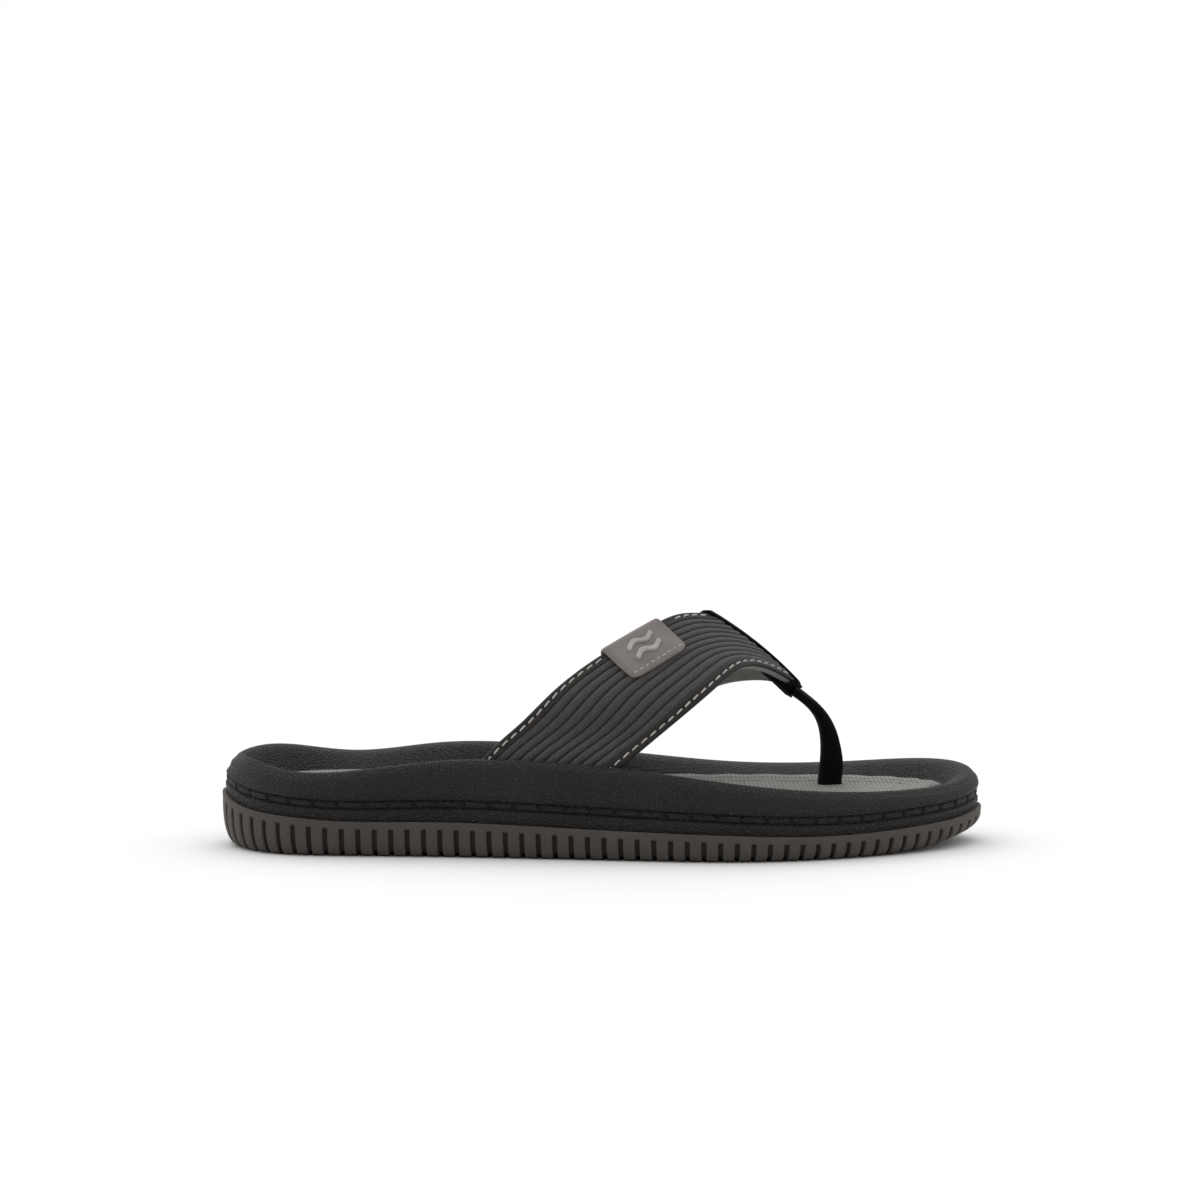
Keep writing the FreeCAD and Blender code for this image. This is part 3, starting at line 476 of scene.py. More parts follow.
def foam_finish():
    f = Finish("midsole_foam", Specular_IOR_Level=0.38)
    bent = f.add("ShaderNodeVectorMath", {"operation": "ADD"})
    f.feed(bent.inputs[0], f.object)
    wobble = f.add("ShaderNodeTexNoise", Vector=f.object, Scale=500.0, Detail=2.0).outputs["Color"]
    small = f.add("ShaderNodeVectorMath", {"operation": "SCALE"})
    f.feed(small.inputs[0], wobble)
    small.inputs["Scale"].default_value = 0.0012
    f.feed(bent.inputs[1], small.outputs["Vector"])
    cells = f.cells(bent.outputs["Vector"], 780.0, "DISTANCE_TO_EDGE")
    creases = f.math("MINIMUM", f.span(cells, 0.0, 0.34), 0.8)
    fine = f.noise(f.object, 2400.0, 3.0)
    cloud = f.noise(f.object, 40.0)
    colour = f.shades(cloud, linear(26, 23, 22), linear(38, 34, 33))
    # painted shade in the creases of the grain
    colour = f.painted_shade_in_hollows(creases, 0.8, 0.6, colour, linear(7, 6, 6))
    # painted shade: near-black in the side channel, between its bars and in its small grooves, following the
    # mark
    colour = f.mix(f.mark(), colour, linear(5, 5, 5))
    f.raise_by(creases, 0.00062, 1.0)
    f.raise_by(fine, 0.00006)
    return f.done(colour, f.span(fine, 0.3, 0.7, 0.5, 0.66))


def insole_finish():
    f = Finish("insole_foam", Specular_IOR_Level=0.3)
    flat = f.scaled(f.object, 1.0, 1.0, 0.0)
    pits = f.cells(flat, 640.0, "F1", 0.15)
    holes = f.span(pits, 0.18, 0.42)
    fine = f.noise(f.object, 3000.0, 2.0)
    cloud = f.noise(f.object, 30.0)
    colour = f.shades(cloud, linear(126, 125, 121), linear(139, 138, 134))
    # painted shade in the pits of the hex texture
    colour = f.painted_shade_in_hollows(holes, 1.0, 0.6, colour, linear(80, 79, 76))
    colour = f.mix(f.span(fine, 0.3, 0.8, 0.0, 0.25), colour, linear(150, 149, 144))
    # painted shade in the two echo lines and along the outer edge where it meets the midsole, following the
    # mark
    colour = f.mix(f.mark(), colour, linear(84, 83, 80))
    f.raise_by(holes, 0.00025, 0.8)
    f.raise_by(fine, 0.00005)
    return f.done(colour, f.span(holes, 0.0, 1.0, 0.95, 0.8))


THREAD_SCALE = 0.314           # one dark and light band of the wave texture per unit of its vector


def weave(f, vector, across, along, twist):
    """Threads over and under: a height from 0 to 1. across and along are thread widths in millimetres."""
    a = f.bands(f.scaled(vector, 1 / across, 1.0), "X", THREAD_SCALE)
    b = f.bands(f.scaled(vector, 1.0, 1 / along), "Y", THREAD_SCALE)
    a.inputs["Distortion"].default_value = twist
    b.inputs["Distortion"].default_value = twist
    return f.math("MULTIPLY", a.outputs["Fac"], b.outputs["Fac"])


def textile_finish():
    f = Finish("strap_textile", Specular_IOR_Level=0.25, Sheen_Weight=0.25, Sheen_Roughness=0.5)
    threads = weave(f, f.pattern(), 0.55, 0.42, 0.6)
    streak = f.noise(f.scaled(f.pattern(), 0.22, 2.4), 1.6, 4.0, 0.7)
    fleck = f.noise(f.pattern(), 2.2, 3.0, 0.6)
    colour = f.shades(streak, linear(58, 55, 54), linear(92, 89, 87), 0.32, 0.68)
    colour = f.mix(f.span(fleck, 0.52, 0.75, 0.0, 0.75), colour, linear(134, 130, 127))
    # painted shade between the threads of the weave
    colour = f.painted_shade_in_hollows(threads, 0.6, 0.45, colour, linear(20, 18, 18))
    # painted shade: near-black in the grooves between the ribs, following the mark
    colour = f.mix(f.mark(), colour, linear(5, 4, 4))
    f.raise_by(threads, 0.00016, 0.9)
    f.raise_by(streak, 0.00012)
    return f.done(colour, f.span(fleck, 0.3, 0.7, 0.85, 0.97))


def binding_finish():
    f = Finish("edge_binding", Specular_IOR_Level=0.25)
    cells = f.span(f.cells(f.object, 1500.0, "DISTANCE_TO_EDGE"), 0.0, 0.2)
    fine = f.noise(f.object, 400.0)
    colour = f.shades(fine, linear(34, 31, 30), linear(50, 46, 44))
    # painted shade in the cracks of the grain
    colour = f.painted_shade_in_hollows(cells, 1.0, 0.5, colour, linear(14, 13, 13))
    f.raise_by(cells, 0.00007)
    return f.done(colour, f.span(fine, 0.3, 0.7, 0.42, 0.6))


def thread_finish():
    f = Finish("thread", Specular_IOR_Level=0.3, Sheen_Weight=0.2)
    turns = f.bands(f.pattern(), "DIAGONAL", 0.9).outputs["Fac"]
    cloud = f.noise(f.object, 300.0)
    colour = f.shades(cloud, linear(176, 172, 166), linear(205, 201, 195))
    # painted shade in the grooves of the twist
    colour = f.painted_shade_in_hollows(turns, 0.5, 0.45, colour, linear(110, 106, 102))
    f.raise_by(turns, 0.00008)
    return f.done(colour, f.span(cloud, 0.3, 0.7, 0.7, 0.85))


def lining_finish():
    f = Finish("strap_lining", Specular_IOR_Level=0.2, Sheen_Weight=0.3)
    knit = weave(f, f.pattern(), 0.7, 0.5, 1.2)
    cloud = f.noise(f.pattern(), 0.25)
    colour = f.shades(cloud, linear(140, 140, 136), linear(162, 161, 157))
    # painted shade in the hollows of the knit
    colour = f.painted_shade_in_hollows(knit, 0.5, 0.5, colour, linear(96, 96, 93))
    f.raise_by(knit, 0.0002)
    return f.done(colour, f.span(cloud, 0.3, 0.7, 0.88, 0.98))


def webbing_finish():
    f = Finish("webbing", Specular_IOR_Level=0.12)
    threads = weave(f, f.pattern(), 1.0, 0.55, 0.3)
    cloud = f.noise(f.object, 250.0)
    colour = f.shades(cloud, linear(10, 9, 9), linear(17, 15, 14))
    # painted shade between the threads of the weave
    colour = f.painted_shade_in_hollows(threads, 0.6, 0.6, colour, linear(3, 3, 3))
    f.raise_by(threads, 0.00022)
    return f.done(colour, f.span(cloud, 0.3, 0.7, 0.7, 0.88))


def tag_finish(name, dark, light):
    f = Finish(name, Specular_IOR_Level=0.4)
    cloud = f.noise(f.object, 120.0)
    grain = f.noise(f.object, 3200.0, 2.0)
    colour = f.shades(cloud, dark, light)
    colour = f.mix(f.mark(), colour, linear(70, 65, 63))
    f.raise_by(grain, 0.00005)
    return f.done(colour, f.span(grain, 0.3, 0.7, 0.5, 0.62))


def foam_core_finish():
    f = Finish("strap_foam")
    cells = f.cells(f.object, 1200.0)
    # painted shade in the pits of the foam's cells
    colour = f.mix(f.span(cells, 0.0, 0.6), linear(120, 118, 115), linear(160, 158, 154))
    f.raise_by(cells, 0.0002)
    return f.done(colour, f.span(cells, 0.0, 0.6, 0.85, 0.95))


def plastic_finish():
    f = Finish("anchor_plastic")
    grain = f.noise(f.object, 1500.0)
    colour = f.shades(grain, linear(34, 34, 34), linear(48, 48, 48))
    f.raise_by(grain, 0.00005)
    return f.done(colour, f.span(grain, 0.3, 0.7, 0.45, 0.6))


RUBBER, FOAM, INSOLE = rubber_finish(), foam_finish(), insole_finish()
TEXTILE, BINDING, THREAD = textile_finish(), binding_finish(), thread_finish()
LINING, WEBBING, CORE, PLASTIC = lining_finish(), webbing_finish(), foam_core_finish(), plastic_finish()
TAG = tag_finish("tag_rubber", linear(112, 105, 102), linear(126, 119, 116))
EMBLEM = tag_finish("emblem_rubber", linear(158, 153, 148), linear(176, 171, 166))


# ---------------------------------------------------------------- outsole
def spread(count, shares):
    """Times round the outline: count repeats, each with the same shares of one repeat."""
    base = np.arange(count)[:, None] + np.asarray(shares)[None]
    return base.ravel() * ROUND / count, np.tile(shares, count)


def build_outsole():
    """Rubber cup with a slotted wall and wavy grooves in the tread."""
    count = round(ROUND / SLOT_PITCH)
    shares = [0, 0.055, 0.09, 0.113, 0.14, 0.17, 0.27, 0.5, 0.73, 0.83, 0.86, 0.887, 0.91, 0.945]
    times, share = spread(count, shares)
    rim = Rim(times)
    pitch = ROUND / count
    off = np.minimum(share, 1 - share) * pitch
    slot = 1 - ease(SLOT_WIDTH / 2 - 0.15, SLOT_WIDTH / 2 + 0.3, off)
    low, lip, tuck = rim.low, rim.lip, rim.tuck
    rise = lip - low
    one = np.ones_like(low)
    rows = [
        (tuck + 1.5, low), (0.78 * tuck, low), (0.34 * tuck, low + 0.1),
        (0.10 * tuck, low + 0.24 * rise), (0.0, low + 0.55 * rise), (-0.1, lip - 2.2),
        (-0.25, lip - 0.5), (0.15, lip + 0.15), (CUP_WALL + 0.2, lip), (CUP_WALL + 0.6, lip - 1.2),
        (CUP_WALL + 2.4, lip - 4.5),
    ]
    controls = profile(rows, one)
    at = np.concatenate([np.linspace(0.0, 0.28, 12), np.linspace(0.30, 0.74, 26), np.linspace(0.76, 1.0, 10)])
    side = rounded(controls, at)
    wall = rim.place(side[..., 0], side[..., 1])
    normal = outward_normals(wall)
    deep = slot[None] * ease(2.5, 3.1, lip[None] - side[..., 1])
    deep = deep * (1 - ease(0.62, 0.9, side[..., 0] / tuck[None]))
    outside = np.sign(-(normal[..., :2] * rim.inward[None]).sum(-1)[20].mean())
    wall = wall - outside * normal * (deep * SLOT_DEPTH)[..., None]

    def tread(x, y):
        wave = (x + 2.2 * np.cos(y / 8.0)) / GROOVE_PITCH
        off_groove = np.abs(wave - np.floor(wave) - 0.5) * GROOVE_PITCH
        shallow = 1 - ease(0.9, 1.7, off_groove)
        edge = 1 - ease(0.70, 0.82, np.abs(y) / half_width(x))
        ends = 1 - ease(0.76, 0.84, np.abs(x) / HALF_LENGTH)
        return ground(x) + GROOVE_DEPTH * shallow * edge * ends

    inset = tuck + 1.5
    sole = rim.spine(inset, np.linspace(1, 0, 44)[:-1], tread)
    inner = rim.place(np.stack([tuck]), np.stack([low + OUTSOLE_FLOOR]))
    top = rim.spine(inset, np.linspace(0, 1, 4), lambda x, y: ground(x) + OUTSOLE_FLOOR)
    points = np.concatenate([sole, wall, inner, top])
    # The mark is painted shade for the rubber's colour: darkest in the wall's slots and in the tread's
    # grooves.
    mark = np.zeros(points.shape[:2])
    mark[len(sole):len(sole) + len(wall)] = 0.85 * deep
    groove = points[:len(sole), :, 2] - ground(points[:len(sole), :, 0])
    mark[:len(sole)] = np.clip(groove / GROOVE_DEPTH, 0, 1) * 0.6
    return Build().grid(points, True, np.append(times, ROUND), np.arange(len(points)), mark)


# ---------------------------------------------------------------- midsole
def build_midsole():
    """Foam wall with its moulded channel, over the rim and down to the seat under the insole."""
    count = round(ROUND / BAR_PITCH)
    shares = [0, 0.03, 0.05, 0.07, 0.095, 0.13, 0.22, 0.36, 0.5, 0.64, 0.78, 0.87, 0.905, 0.93, 0.95, 0.97]
    times, share = spread(count, shares)
    rim = Rim(times)
    pitch = ROUND / count
    off = np.minimum(share, 1 - share) * pitch
    bar = 0.5 + 0.5 * ease(BAR_GAP / 2 - 0.45, BAR_GAP / 2 + 0.7, off)
    top, under, crest, margin = rim.channel_top, rim.channel_low, rim.rim, rim.margin
    edge = rim.xy + rim.inward * margin[:, None]
    floor = seat(edge[:, 0], edge[:, 1])
    w, one, lean = CUP_WALL, np.ones_like(top), rim.lean
    drop = np.maximum(crest - floor, 1.0)
    rows = [
        (w + 3.0, rim.lip - 4), (w + 0.4, rim.lip - 2), (w - 0.30, rim.lip + 0.5), (w - 0.50, under - 1.0),
        (w - 0.35, under - 0.2), (w - 0.25, under + 0.8), (w - 0.25, top - 0.8), (w - 0.35, top + 0.2),
        (w - 0.75 + 0.65 * lean, top + 1.4), (w - 0.65 + 0.85 * lean, top + 0.35 * (crest - top)),
        (w - 0.2 + 0.9 * lean, top + 0.66 * (crest - top)),
        (w + 0.7 + lean, crest - 1.4), (w + 2.6 + lean, crest + 0.75), (0.55 * margin + 0.3 * lean, crest),
        (0.80 * margin, floor + 0.42 * drop), (margin - 1.0, floor + 0.15), (margin + 1.0, floor - 1.1),
        (margin + 3.0, floor - 1.5),
    ]
    controls = profile(rows, one)
    spans = len(rows) - 2
    at = np.concatenate([
        np.linspace(0, 1.9, 5), np.linspace(2.0, 3.4, 12), np.linspace(3.45, 7.2, 46),
        np.linspace(7.35, 11, 16), np.linspace(11.2, spans, 26)
    ]) / spans
    side = rounded(controls, at)
    z = side[..., 1]
    place = (z - under[None]) / CHANNEL_HEIGHT
    inside = ease(-0.10, 0.06, place) * (1 - ease(0.94, 1.10, place)) * (side[..., 0] < 4)
    bulge = np.sqrt(np.clip(1 - (2 * place - 1) ** 2 * 0.96, 0, 1))
    cut = inside * (1.35 - 1.25 * bulge * bar[None])
    step = 0.3 * np.exp(-((z - rim.lip[None] - 1.15) / 0.22) ** 2) * (side[..., 0] < 4)
    lower = 0.35 * np.exp(-((z - under[None] + 0.25) / 0.25) ** 2) * (side[..., 0] < 4)
    wall = rim.place(side[..., 0] + cut + step + lower, z)
    inset = margin + 3.0
    under_insole = rim.spine(inset, np.linspace(0, 1, 6)[1:], lambda x, y: seat(x, y) - 1.6)
    bottom = rim.spine(rim.tuck + 1.5, [1, 0.5, 0], lambda x, y: ground(x) + OUTSOLE_FLOOR + 0.05)
    points = np.concatenate([bottom, wall, under_insole])
    mark = np.zeros(points.shape[:2])
    # Painted shade for the foam's colour: dark in the channel and between its bars, in the step line just
    # above the lip and in the groove below the channel.
    mark[len(bottom):len(bottom) + len(wall)] = np.clip(cut * 0.6 + step * 1.2 + lower, 0, 0.9)
    return Build().grid(points, True, np.append(times, ROUND), np.arange(len(points)), mark)


# ---------------------------------------------------------------- insole
SCALLOPS = 36                  # if they ran all round; only the fore part has them
ECHO_LINES = (5.0, 10.5)       # shallow lines that follow the edge, at these distances in from it


def build_insole():
    """Insole let into the midsole, with a scalloped and rounded edge."""
    times = np.arange(900) * ROUND / 900
    rim = Rim(times)
    fore = ease(-0.05 * HALF_LENGTH, 0.15 * HALF_LENGTH, rim.xy[:, 0])
    wave = 0.5 + 0.5 * np.cos(2 * np.pi * SCALLOPS * times / ROUND)
    inset = rim.margin + (0.2 + 1.9 * wave) * fore
    length = np.array([0.0, 0.03, 0.08, 0.15, 0.25, 0.4, 0.6, 0.85, 1.2, 1.6, 2.1, 2.8])
    lift = INSOLE_PROUD + 0.9 * fore

    def ring(more, z):
        edge = rim.xy + rim.inward * (inset + more)[:, None]
        return np.concatenate([edge, (seat(edge[:, 0], edge[:, 1]) + z)[:, None]], 1)[None]

    parts = [rim.spine(inset + 0.3, [1, 0.5], lambda x, y: seat(x, y) - INSOLE_DEPTH)]
    parts.append(ring(0.3, -INSOLE_DEPTH))
    parts.append(ring(0.0, -INSOLE_DEPTH + 0.4))
    for more in length:
        parts.append(ring(more, lift * np.sqrt(1 - (1 - min(1, more / 2.1)) ** 2) - 0.25 * (more < 0.01)))
    shares = np.linspace(0, 1, 60)[1:]
    inner = rim.spine(inset + 2.8, shares, seat)
    across = np.linalg.norm(inner[:, :, :2] - inner[-1:, :, :2], axis=-1)
    from_edge = across[:1] - across
    relief = lift[None] * (1 - ease(2.0, 16.0, from_edge) * 0.75)
    for depth_in in ECHO_LINES:
        relief = relief - 0.45 * fore[None] * np.exp(-((from_edge - depth_in) / 0.55) ** 2)
    inner[..., 2] += relief
    parts.append(inner)
    points = np.concatenate(parts)
    # Painted shade for the insole's colour: in the echo lines and along the outer edge, rows 4 and 5, where
    # it meets the midsole.
    mark = np.zeros(points.shape[:2])
    start = len(points) - len(inner)
    for depth_in in ECHO_LINES:
        mark[start:] += 0.5 * fore[None] * np.exp(-((from_edge - depth_in) / 0.5) ** 2)
    mark[4:6] = 0.6
    return Build().grid(points, True, np.append(times, ROUND), np.arange(len(points)), mark)


piece("outsole_ribbed", build_outsole(), RUBBER, "outsole")
piece("midsole_grained", build_midsole(), FOAM, "midsole")
piece("insole_scalloped", build_insole(), INSOLE, "footbed_insert")


# ---------------------------------------------------------------- the strap as one arched sheet
# Rows from the sunk end to the seam: shares of the way along, across and up, for the rear edge and for
# the front edge of each strap.
LATERAL_REAR = [
    (0, 0, 0), (0.06, 0.01, 0.20), (0.195, 0.09, 0.38), (0.33, 0.175, 0.55), (0.47, 0.28, 0.71),
    (0.62, 0.42, 0.843), (0.77, 0.60, 0.964), (0.895, 0.80, 1.017), (1, 1, 1),
]
LATERAL_FRONT = [
    (0, 0, 0), (0.13, 0, 0.23), (0.29, 0.05, 0.52), (0.44, 0.14, 0.82), (0.58, 0.27, 1.07),
    (0.71, 0.46, 1.265), (0.83, 0.66, 1.25), (0.935, 0.85, 1.125), (1, 1, 1),
]
MEDIAL_REAR = [
    (0, 0, 0), (0.115, 0, 0.20), (0.25, 0.03, 0.38), (0.39, 0.09, 0.55), (0.53, 0.18, 0.705),
    (0.665, 0.32, 0.83), (0.80, 0.51, 0.94), (0.905, 0.74, 0.995), (1, 1, 1),
]
MEDIAL_FRONT = [
    (0, 0, 0), (0.13, 0, 0.23), (0.29, 0.03, 0.50), (0.44, 0.09, 0.74), (0.58, 0.20, 0.92),
    (0.71, 0.37, 1.02), (0.83, 0.57, 1.05), (0.93, 0.79, 1.03), (1, 1, 1),
]
RIDGE = sum(span("toe_post_anchor", Y)) / 2
POST_ALONG = sum(span("toe_post_anchor", X)) / 2
CROTCH = np.array([39.0, RIDGE, 84.2])
APEX = np.array([72.4, RIDGE, 57.2])
STRAP_REAR, STRAP_FRONT, STRAP_END, STRAP_INSET = -48.5, -3.0, 25.0, 9.4
STRAP_CROWN = 1.6
LINING_TOP, PADDING_TOP, THICK = 0.8, 2.4, 3.8
EDGE_WIDTH = 4.2
SEAM, LAST = 8.0, 16.0
ACROSS = 6.0


def sunk_corner(x, medial):
    """A corner of the strap's end inside the midsole."""
    times = np.linspace(0, ROUND, 6001)
    rim = Rim(times)
    off = np.abs(rim.xy[:, 0] - x) + 1000 * ((rim.xy[:, 1] > 0) != medial)
    best = int(np.argmin(off))
    y = rim.xy[best, 1] + rim.inward[best, 1] * STRAP_INSET
    return np.array([x, y, STRAP_END])


def edge_points(x, end, lateral, medial):
    near, far = sunk_corner(x, False), sunk_corner(x, True)
    points = [near + (end - near) * np.array(s) for s in lateral]
    return points + [far + (end - far) * np.array(s) for s in reversed(medial[:-1])]


class Sheet:
    """The foot side of the strap, from the lateral end (row 0) over the seam (row 8) to the medial end."""

    def __init__(self):
        rear = edge_points(STRAP_REAR, CROTCH, LATERAL_REAR, MEDIAL_REAR)
        front = edge_points(STRAP_FRONT, APEX, LATERAL_FRONT, MEDIAL_FRONT)
        grid = []
        for n, (a, b) in enumerate(zip(rear, front)):
            before, after = max(n - 1, 0), min(n + 1, len(rear) - 1)
            along = rear[after] + front[after] - rear[before] - front[before]
            out = np.cross(along, b - a)
            out /= np.linalg.norm(out)
            if out[2] < 0 and 2 < n < LAST - 2:      # the arch bulges upwards
                out = -out
            share = np.arange(ACROSS + 1) / ACROSS
            crown = STRAP_CROWN * 4 * share * (1 - share) * min(1.0, min(n, LAST - n) / 2)
            grid.append(a + (b - a) * share[:, None] + out * crown[:, None])
        self.grid = np.array(grid)
        self.rows = Spline(np.arange(LAST + 1), np.eye(int(LAST) + 1))
        self.columns = Spline(np.arange(ACROSS + 1), np.eye(int(ACROSS) + 1))
        _, along, across = self.frame(np.array([4.0]), np.array([0.5]))
        self.sign = 1 if np.cross(along, across)[0, 1] < 0 else -1

    def frame(self, row, share):
        """Places with the steps along and across for flat arrays of rows and shares."""
        v = np.clip(share, 0, 1) * ACROSS
        a, da = self.rows.at(row), self.rows.at(row, 1)
        b, db = self.columns.at(v), self.columns.at(v, 1)
        place = np.einsum("ni,nj,ijk->nk", a, b, self.grid)
        along = np.einsum("ni,nj,ijk->nk", da, b, self.grid)
        across = np.einsum("ni,nj,ijk->nk", a, db, self.grid)
        return place, along, across

    def normal(self, along, across):
        return unit(np.cross(along, across) * self.sign)

    def at(self, row, share, height):
        """Points on the strap. A share outside 0 to 1 runs on past the edge."""
        row, share, height = np.broadcast_arrays(*(np.asarray(v, float) for v in (row, share, height)))
        shape = row.shape
        row, share, height = row.ravel(), share.ravel(), height.ravel()
        place, along, across = self.frame(row, share)
        past = (share - np.clip(share, 0, 1)) * ACROSS
        point = place + across * past[:, None] + self.normal(along, across) * height[:, None]
        return point.reshape(shape + (3,))

    def share_of(self, row, margin, front=False):
        """A margin square to an edge, in millimetres, as a share of the row that crosses it."""
        row, margin = np.broadcast_arrays(np.asarray(row, float), np.asarray(margin, float))
        flat = row.ravel()
        _, along, across = self.frame(flat, np.full(len(flat), 1.0 if front else 0.0))
        square = np.linalg.norm(np.cross(along, across), axis=1) / np.linalg.norm(along, axis=1)
        return margin / (ACROSS * square.reshape(row.shape))

    def square(self, row, distance, height):
        """Points found by walking square across the strap from its rear edge."""
        row, distance, height = np.broadcast_arrays(*(np.asarray(v, float) for v in (row, distance, height)))
        shape = row.shape
        row, distance, height = row.ravel().copy(), distance.ravel(), height.ravel()
        share, walk = np.zeros_like(row), np.maximum(distance, 0) / 8
        for _ in range(8):
            _, along, across = self.frame(row, share)
            slide = (across * along).sum(1) / (along * along).sum(1)
            across = across - along * slide[:, None]
            step = walk / np.linalg.norm(across, axis=1)
            row, share = row - slide * step, share + step / ACROSS
        place, along, across = self.frame(row, share)
        slide = (across * along).sum(1) / (along * along).sum(1)
        across = unit(across - along * slide[:, None])
        point = place + self.normal(along, across) * height[:, None]
        point = point + across * np.minimum(distance, 0)[:, None]
        return point.reshape(shape + (3,))

    def edge_share(self, row, margin, front):
        """The share of the way across of a line at a margin in from the rear or the front edge."""
        share = self.share_of(row, margin, front)
        return 1 - share if front else share


SHEET = Sheet()
SHOWN = 0.06                   # rows below this are well inside the midsole
SIDES = {"lateral": (SHOWN, SEAM - 0.01), "medial": (SEAM + 0.01, LAST - SHOWN)}
RIBS = 9


def swept(rows, columns, mark=None, flip=False):
    """A closed piece of strap: a section swept along rows, with its pattern along (x) and around it (y).

    columns gives, for each point of the section, its share of the way across and its height.
    """
    points = SHEET.at(rows[:, None], *columns(rows[:, None]))
    ring = np.concatenate([points, points[:, :1]], 1)
    around = np.cumsum(np.linalg.norm(np.diff(ring, axis=1), axis=2), 1)
    v = np.concatenate([np.zeros((len(rows), 1)), around], 1)
    u = np.broadcast_to(distances(points.mean(1))[:, None], v.shape)
    return Build().grid(points, True, u, v, mark, flip, ends=True)


def between_bands(row, shares, inner):
    """Shares between two lines at the same margin from either edge."""
    low, high = SHEET.edge_share(row, inner, False), SHEET.edge_share(row, inner, True)
    return low + (high - low) * shares


def build_panel(side):
    rows = np.linspace(*SIDES[side], 260)
    step = np.arange(RIBS * 10 + 1) / 10
    place = step - np.floor(step)
    place[-1] = 0.0
    dome = np.sqrt(np.clip(1 - (2 * place - 1) ** 2 * 0.97, 0, 1))
    top = THICK - 0.90 + 1.08 * dome
    shares = np.concatenate([step / RIBS, [1.0, 0.75, 0.5, 0.25, 0.0]])
    heights = np.concatenate([top, np.full(5, PADDING_TOP + 0.05)])
    # The mark is painted shade for the textile's colour: dark in the grooves between the ribs.
    groove = np.concatenate([np.clip(1.1 - dome * 1.25, 0, 1), np.zeros(5)])

    def columns(row):
        wide = between_bands(row, shares[None], EDGE_WIDTH - 0.35)
        wander = 0.05 * np.sin(row * 9.0 + shares[None] * 40.0)
        return wide, heights[None] + wander * (heights[None] > 3)

    return swept(rows, columns, groove[None])


def build_lining(side):
    """Soft lining under the padding and up round its edges: the light rim below the dark edge band."""
    rows = np.linspace(*SIDES[side], 200)
    turn = np.linspace(0, 1, 12)
    edge = 1.9 - 1.6 * turn ** 0.8
    lip = 0.3 + 1.95 * turn
    shares = np.linspace(0, 1, 30)
    puff = 0.35 * (1 - (2 * shares - 1) ** 6)

    def columns(row):
        rear, front = SHEET.edge_share(row, edge[None], False), SHEET.edge_share(row, edge[None], True)
        under = between_bands(row, shares[None], 1.95)
        over = between_bands(row, shares[None, ::-1], 0.45)
        share = np.concatenate([under, front, over, rear[:, ::-1]], 1)
        height = np.concatenate([0.1 - puff, lip, np.full(30, 2.3), lip[::-1]])
        return share, height[None]

    return swept(rows, columns)


def build_padding(side):
    rows = np.linspace(*SIDES[side], 120)
    shares = np.concatenate([np.linspace(0, 1, 24), np.linspace(1, 0, 24)])
    dome = 0.5 * (PADDING_TOP - LINING_TOP) * np.clip(1 - (2 * shares - 1) ** 8, 0, 1)
    middle = (LINING_TOP + PADDING_TOP) / 2
    heights = middle + np.concatenate([dome[:24], -dome[24:]])
    return swept(rows, lambda row: (between_bands(row, shares[None], 2.2), heights[None]))


STITCH_LINE, STITCH_LONG, STITCH_PITCH, THREAD_RADIUS = 2.1, 3.5, 4.3, 0.36
# Section of an edge band: margins in from the edge and heights.
BAND = [
    (4.35, THICK - 0.25), (4.2, THICK + 0.10), (3.8, THICK + 0.28), (3.3, THICK + 0.26), (2.8, THICK + 0.10),
    (2.4, THICK - 0.08), (2.1, THICK - 0.12), (1.8, THICK - 0.08), (1.4, THICK + 0.04), (0.9, THICK + 0.02),
    (0.5, THICK - 0.12), (0.2, THICK - 0.38), (0.04, THICK - 0.75), (0.04, THICK - 1.15),
    (0.25, THICK - 1.42),
    (1.0, THICK - 1.45), (2.6, THICK - 1.45), (4.35, THICK - 1.35), (4.35, THICK - 0.7),
]


def stitch_steps(rows, front, margin):
    """Rows where the stitches of one edge begin and end, evenly spaced along it."""
    fine = np.linspace(rows[0], rows[1], 3000)
    walked = distances(SHEET.at(fine, SHEET.edge_share(fine, margin, front), THICK))
    count = int((walked[-1] + STITCH_PITCH - STITCH_LONG) // STITCH_PITCH)
    begins = np.arange(count) * STITCH_PITCH
    return np.interp(begins, walked, fine), np.interp(begins + STITCH_LONG, walked, fine)


def build_binding(side, front):
    rows = np.linspace(*SIDES[side], 420)
    margins = np.array([m for m, _ in BAND])
    heights = np.array([h for _, h in BAND])

    def columns(row):
        share = SHEET.edge_share(row, margins[None], front)
        pucker = 0.05 * np.sin(row * 31.0) * np.exp(-((margins[None] - STITCH_LINE) / 1.2) ** 2)
        return share, heights[None] + pucker * (heights[None] > 2)

    near = np.exp(-((margins - STITCH_LINE) / 0.45) ** 2) * (heights > THICK - 0.2) * 0.6
    return swept(rows, columns, near[None], flip=front)


def add_stitch(build, path, normals, radius):
    """One thread stitch along a short path, its ends pulled down into the cloth."""
    count = len(path)
    side = np.cross(unit(np.gradient(path, axis=0)), normals)
    turn = np.linspace(0, 2 * np.pi, 9)[:-1]
    t = np.linspace(-1, 1, count)
    slim = radius * np.sqrt(np.clip(1 - np.abs(t) ** 7, 0.05, 1))
    sink = -0.42 * np.abs(t) ** 5
    centre = path + normals * sink[:, None]
    ring = np.cos(turn)[None, :, None] * side[:, None] + np.sin(turn)[None, :, None] * normals[:, None] * 0.85
    points = centre[:, None] + ring * slim[:, None, None]
    u = np.linspace(0, 2 * np.pi * 0.4, 9)
    build.grid(points, True, u, distances(path), ends=True)


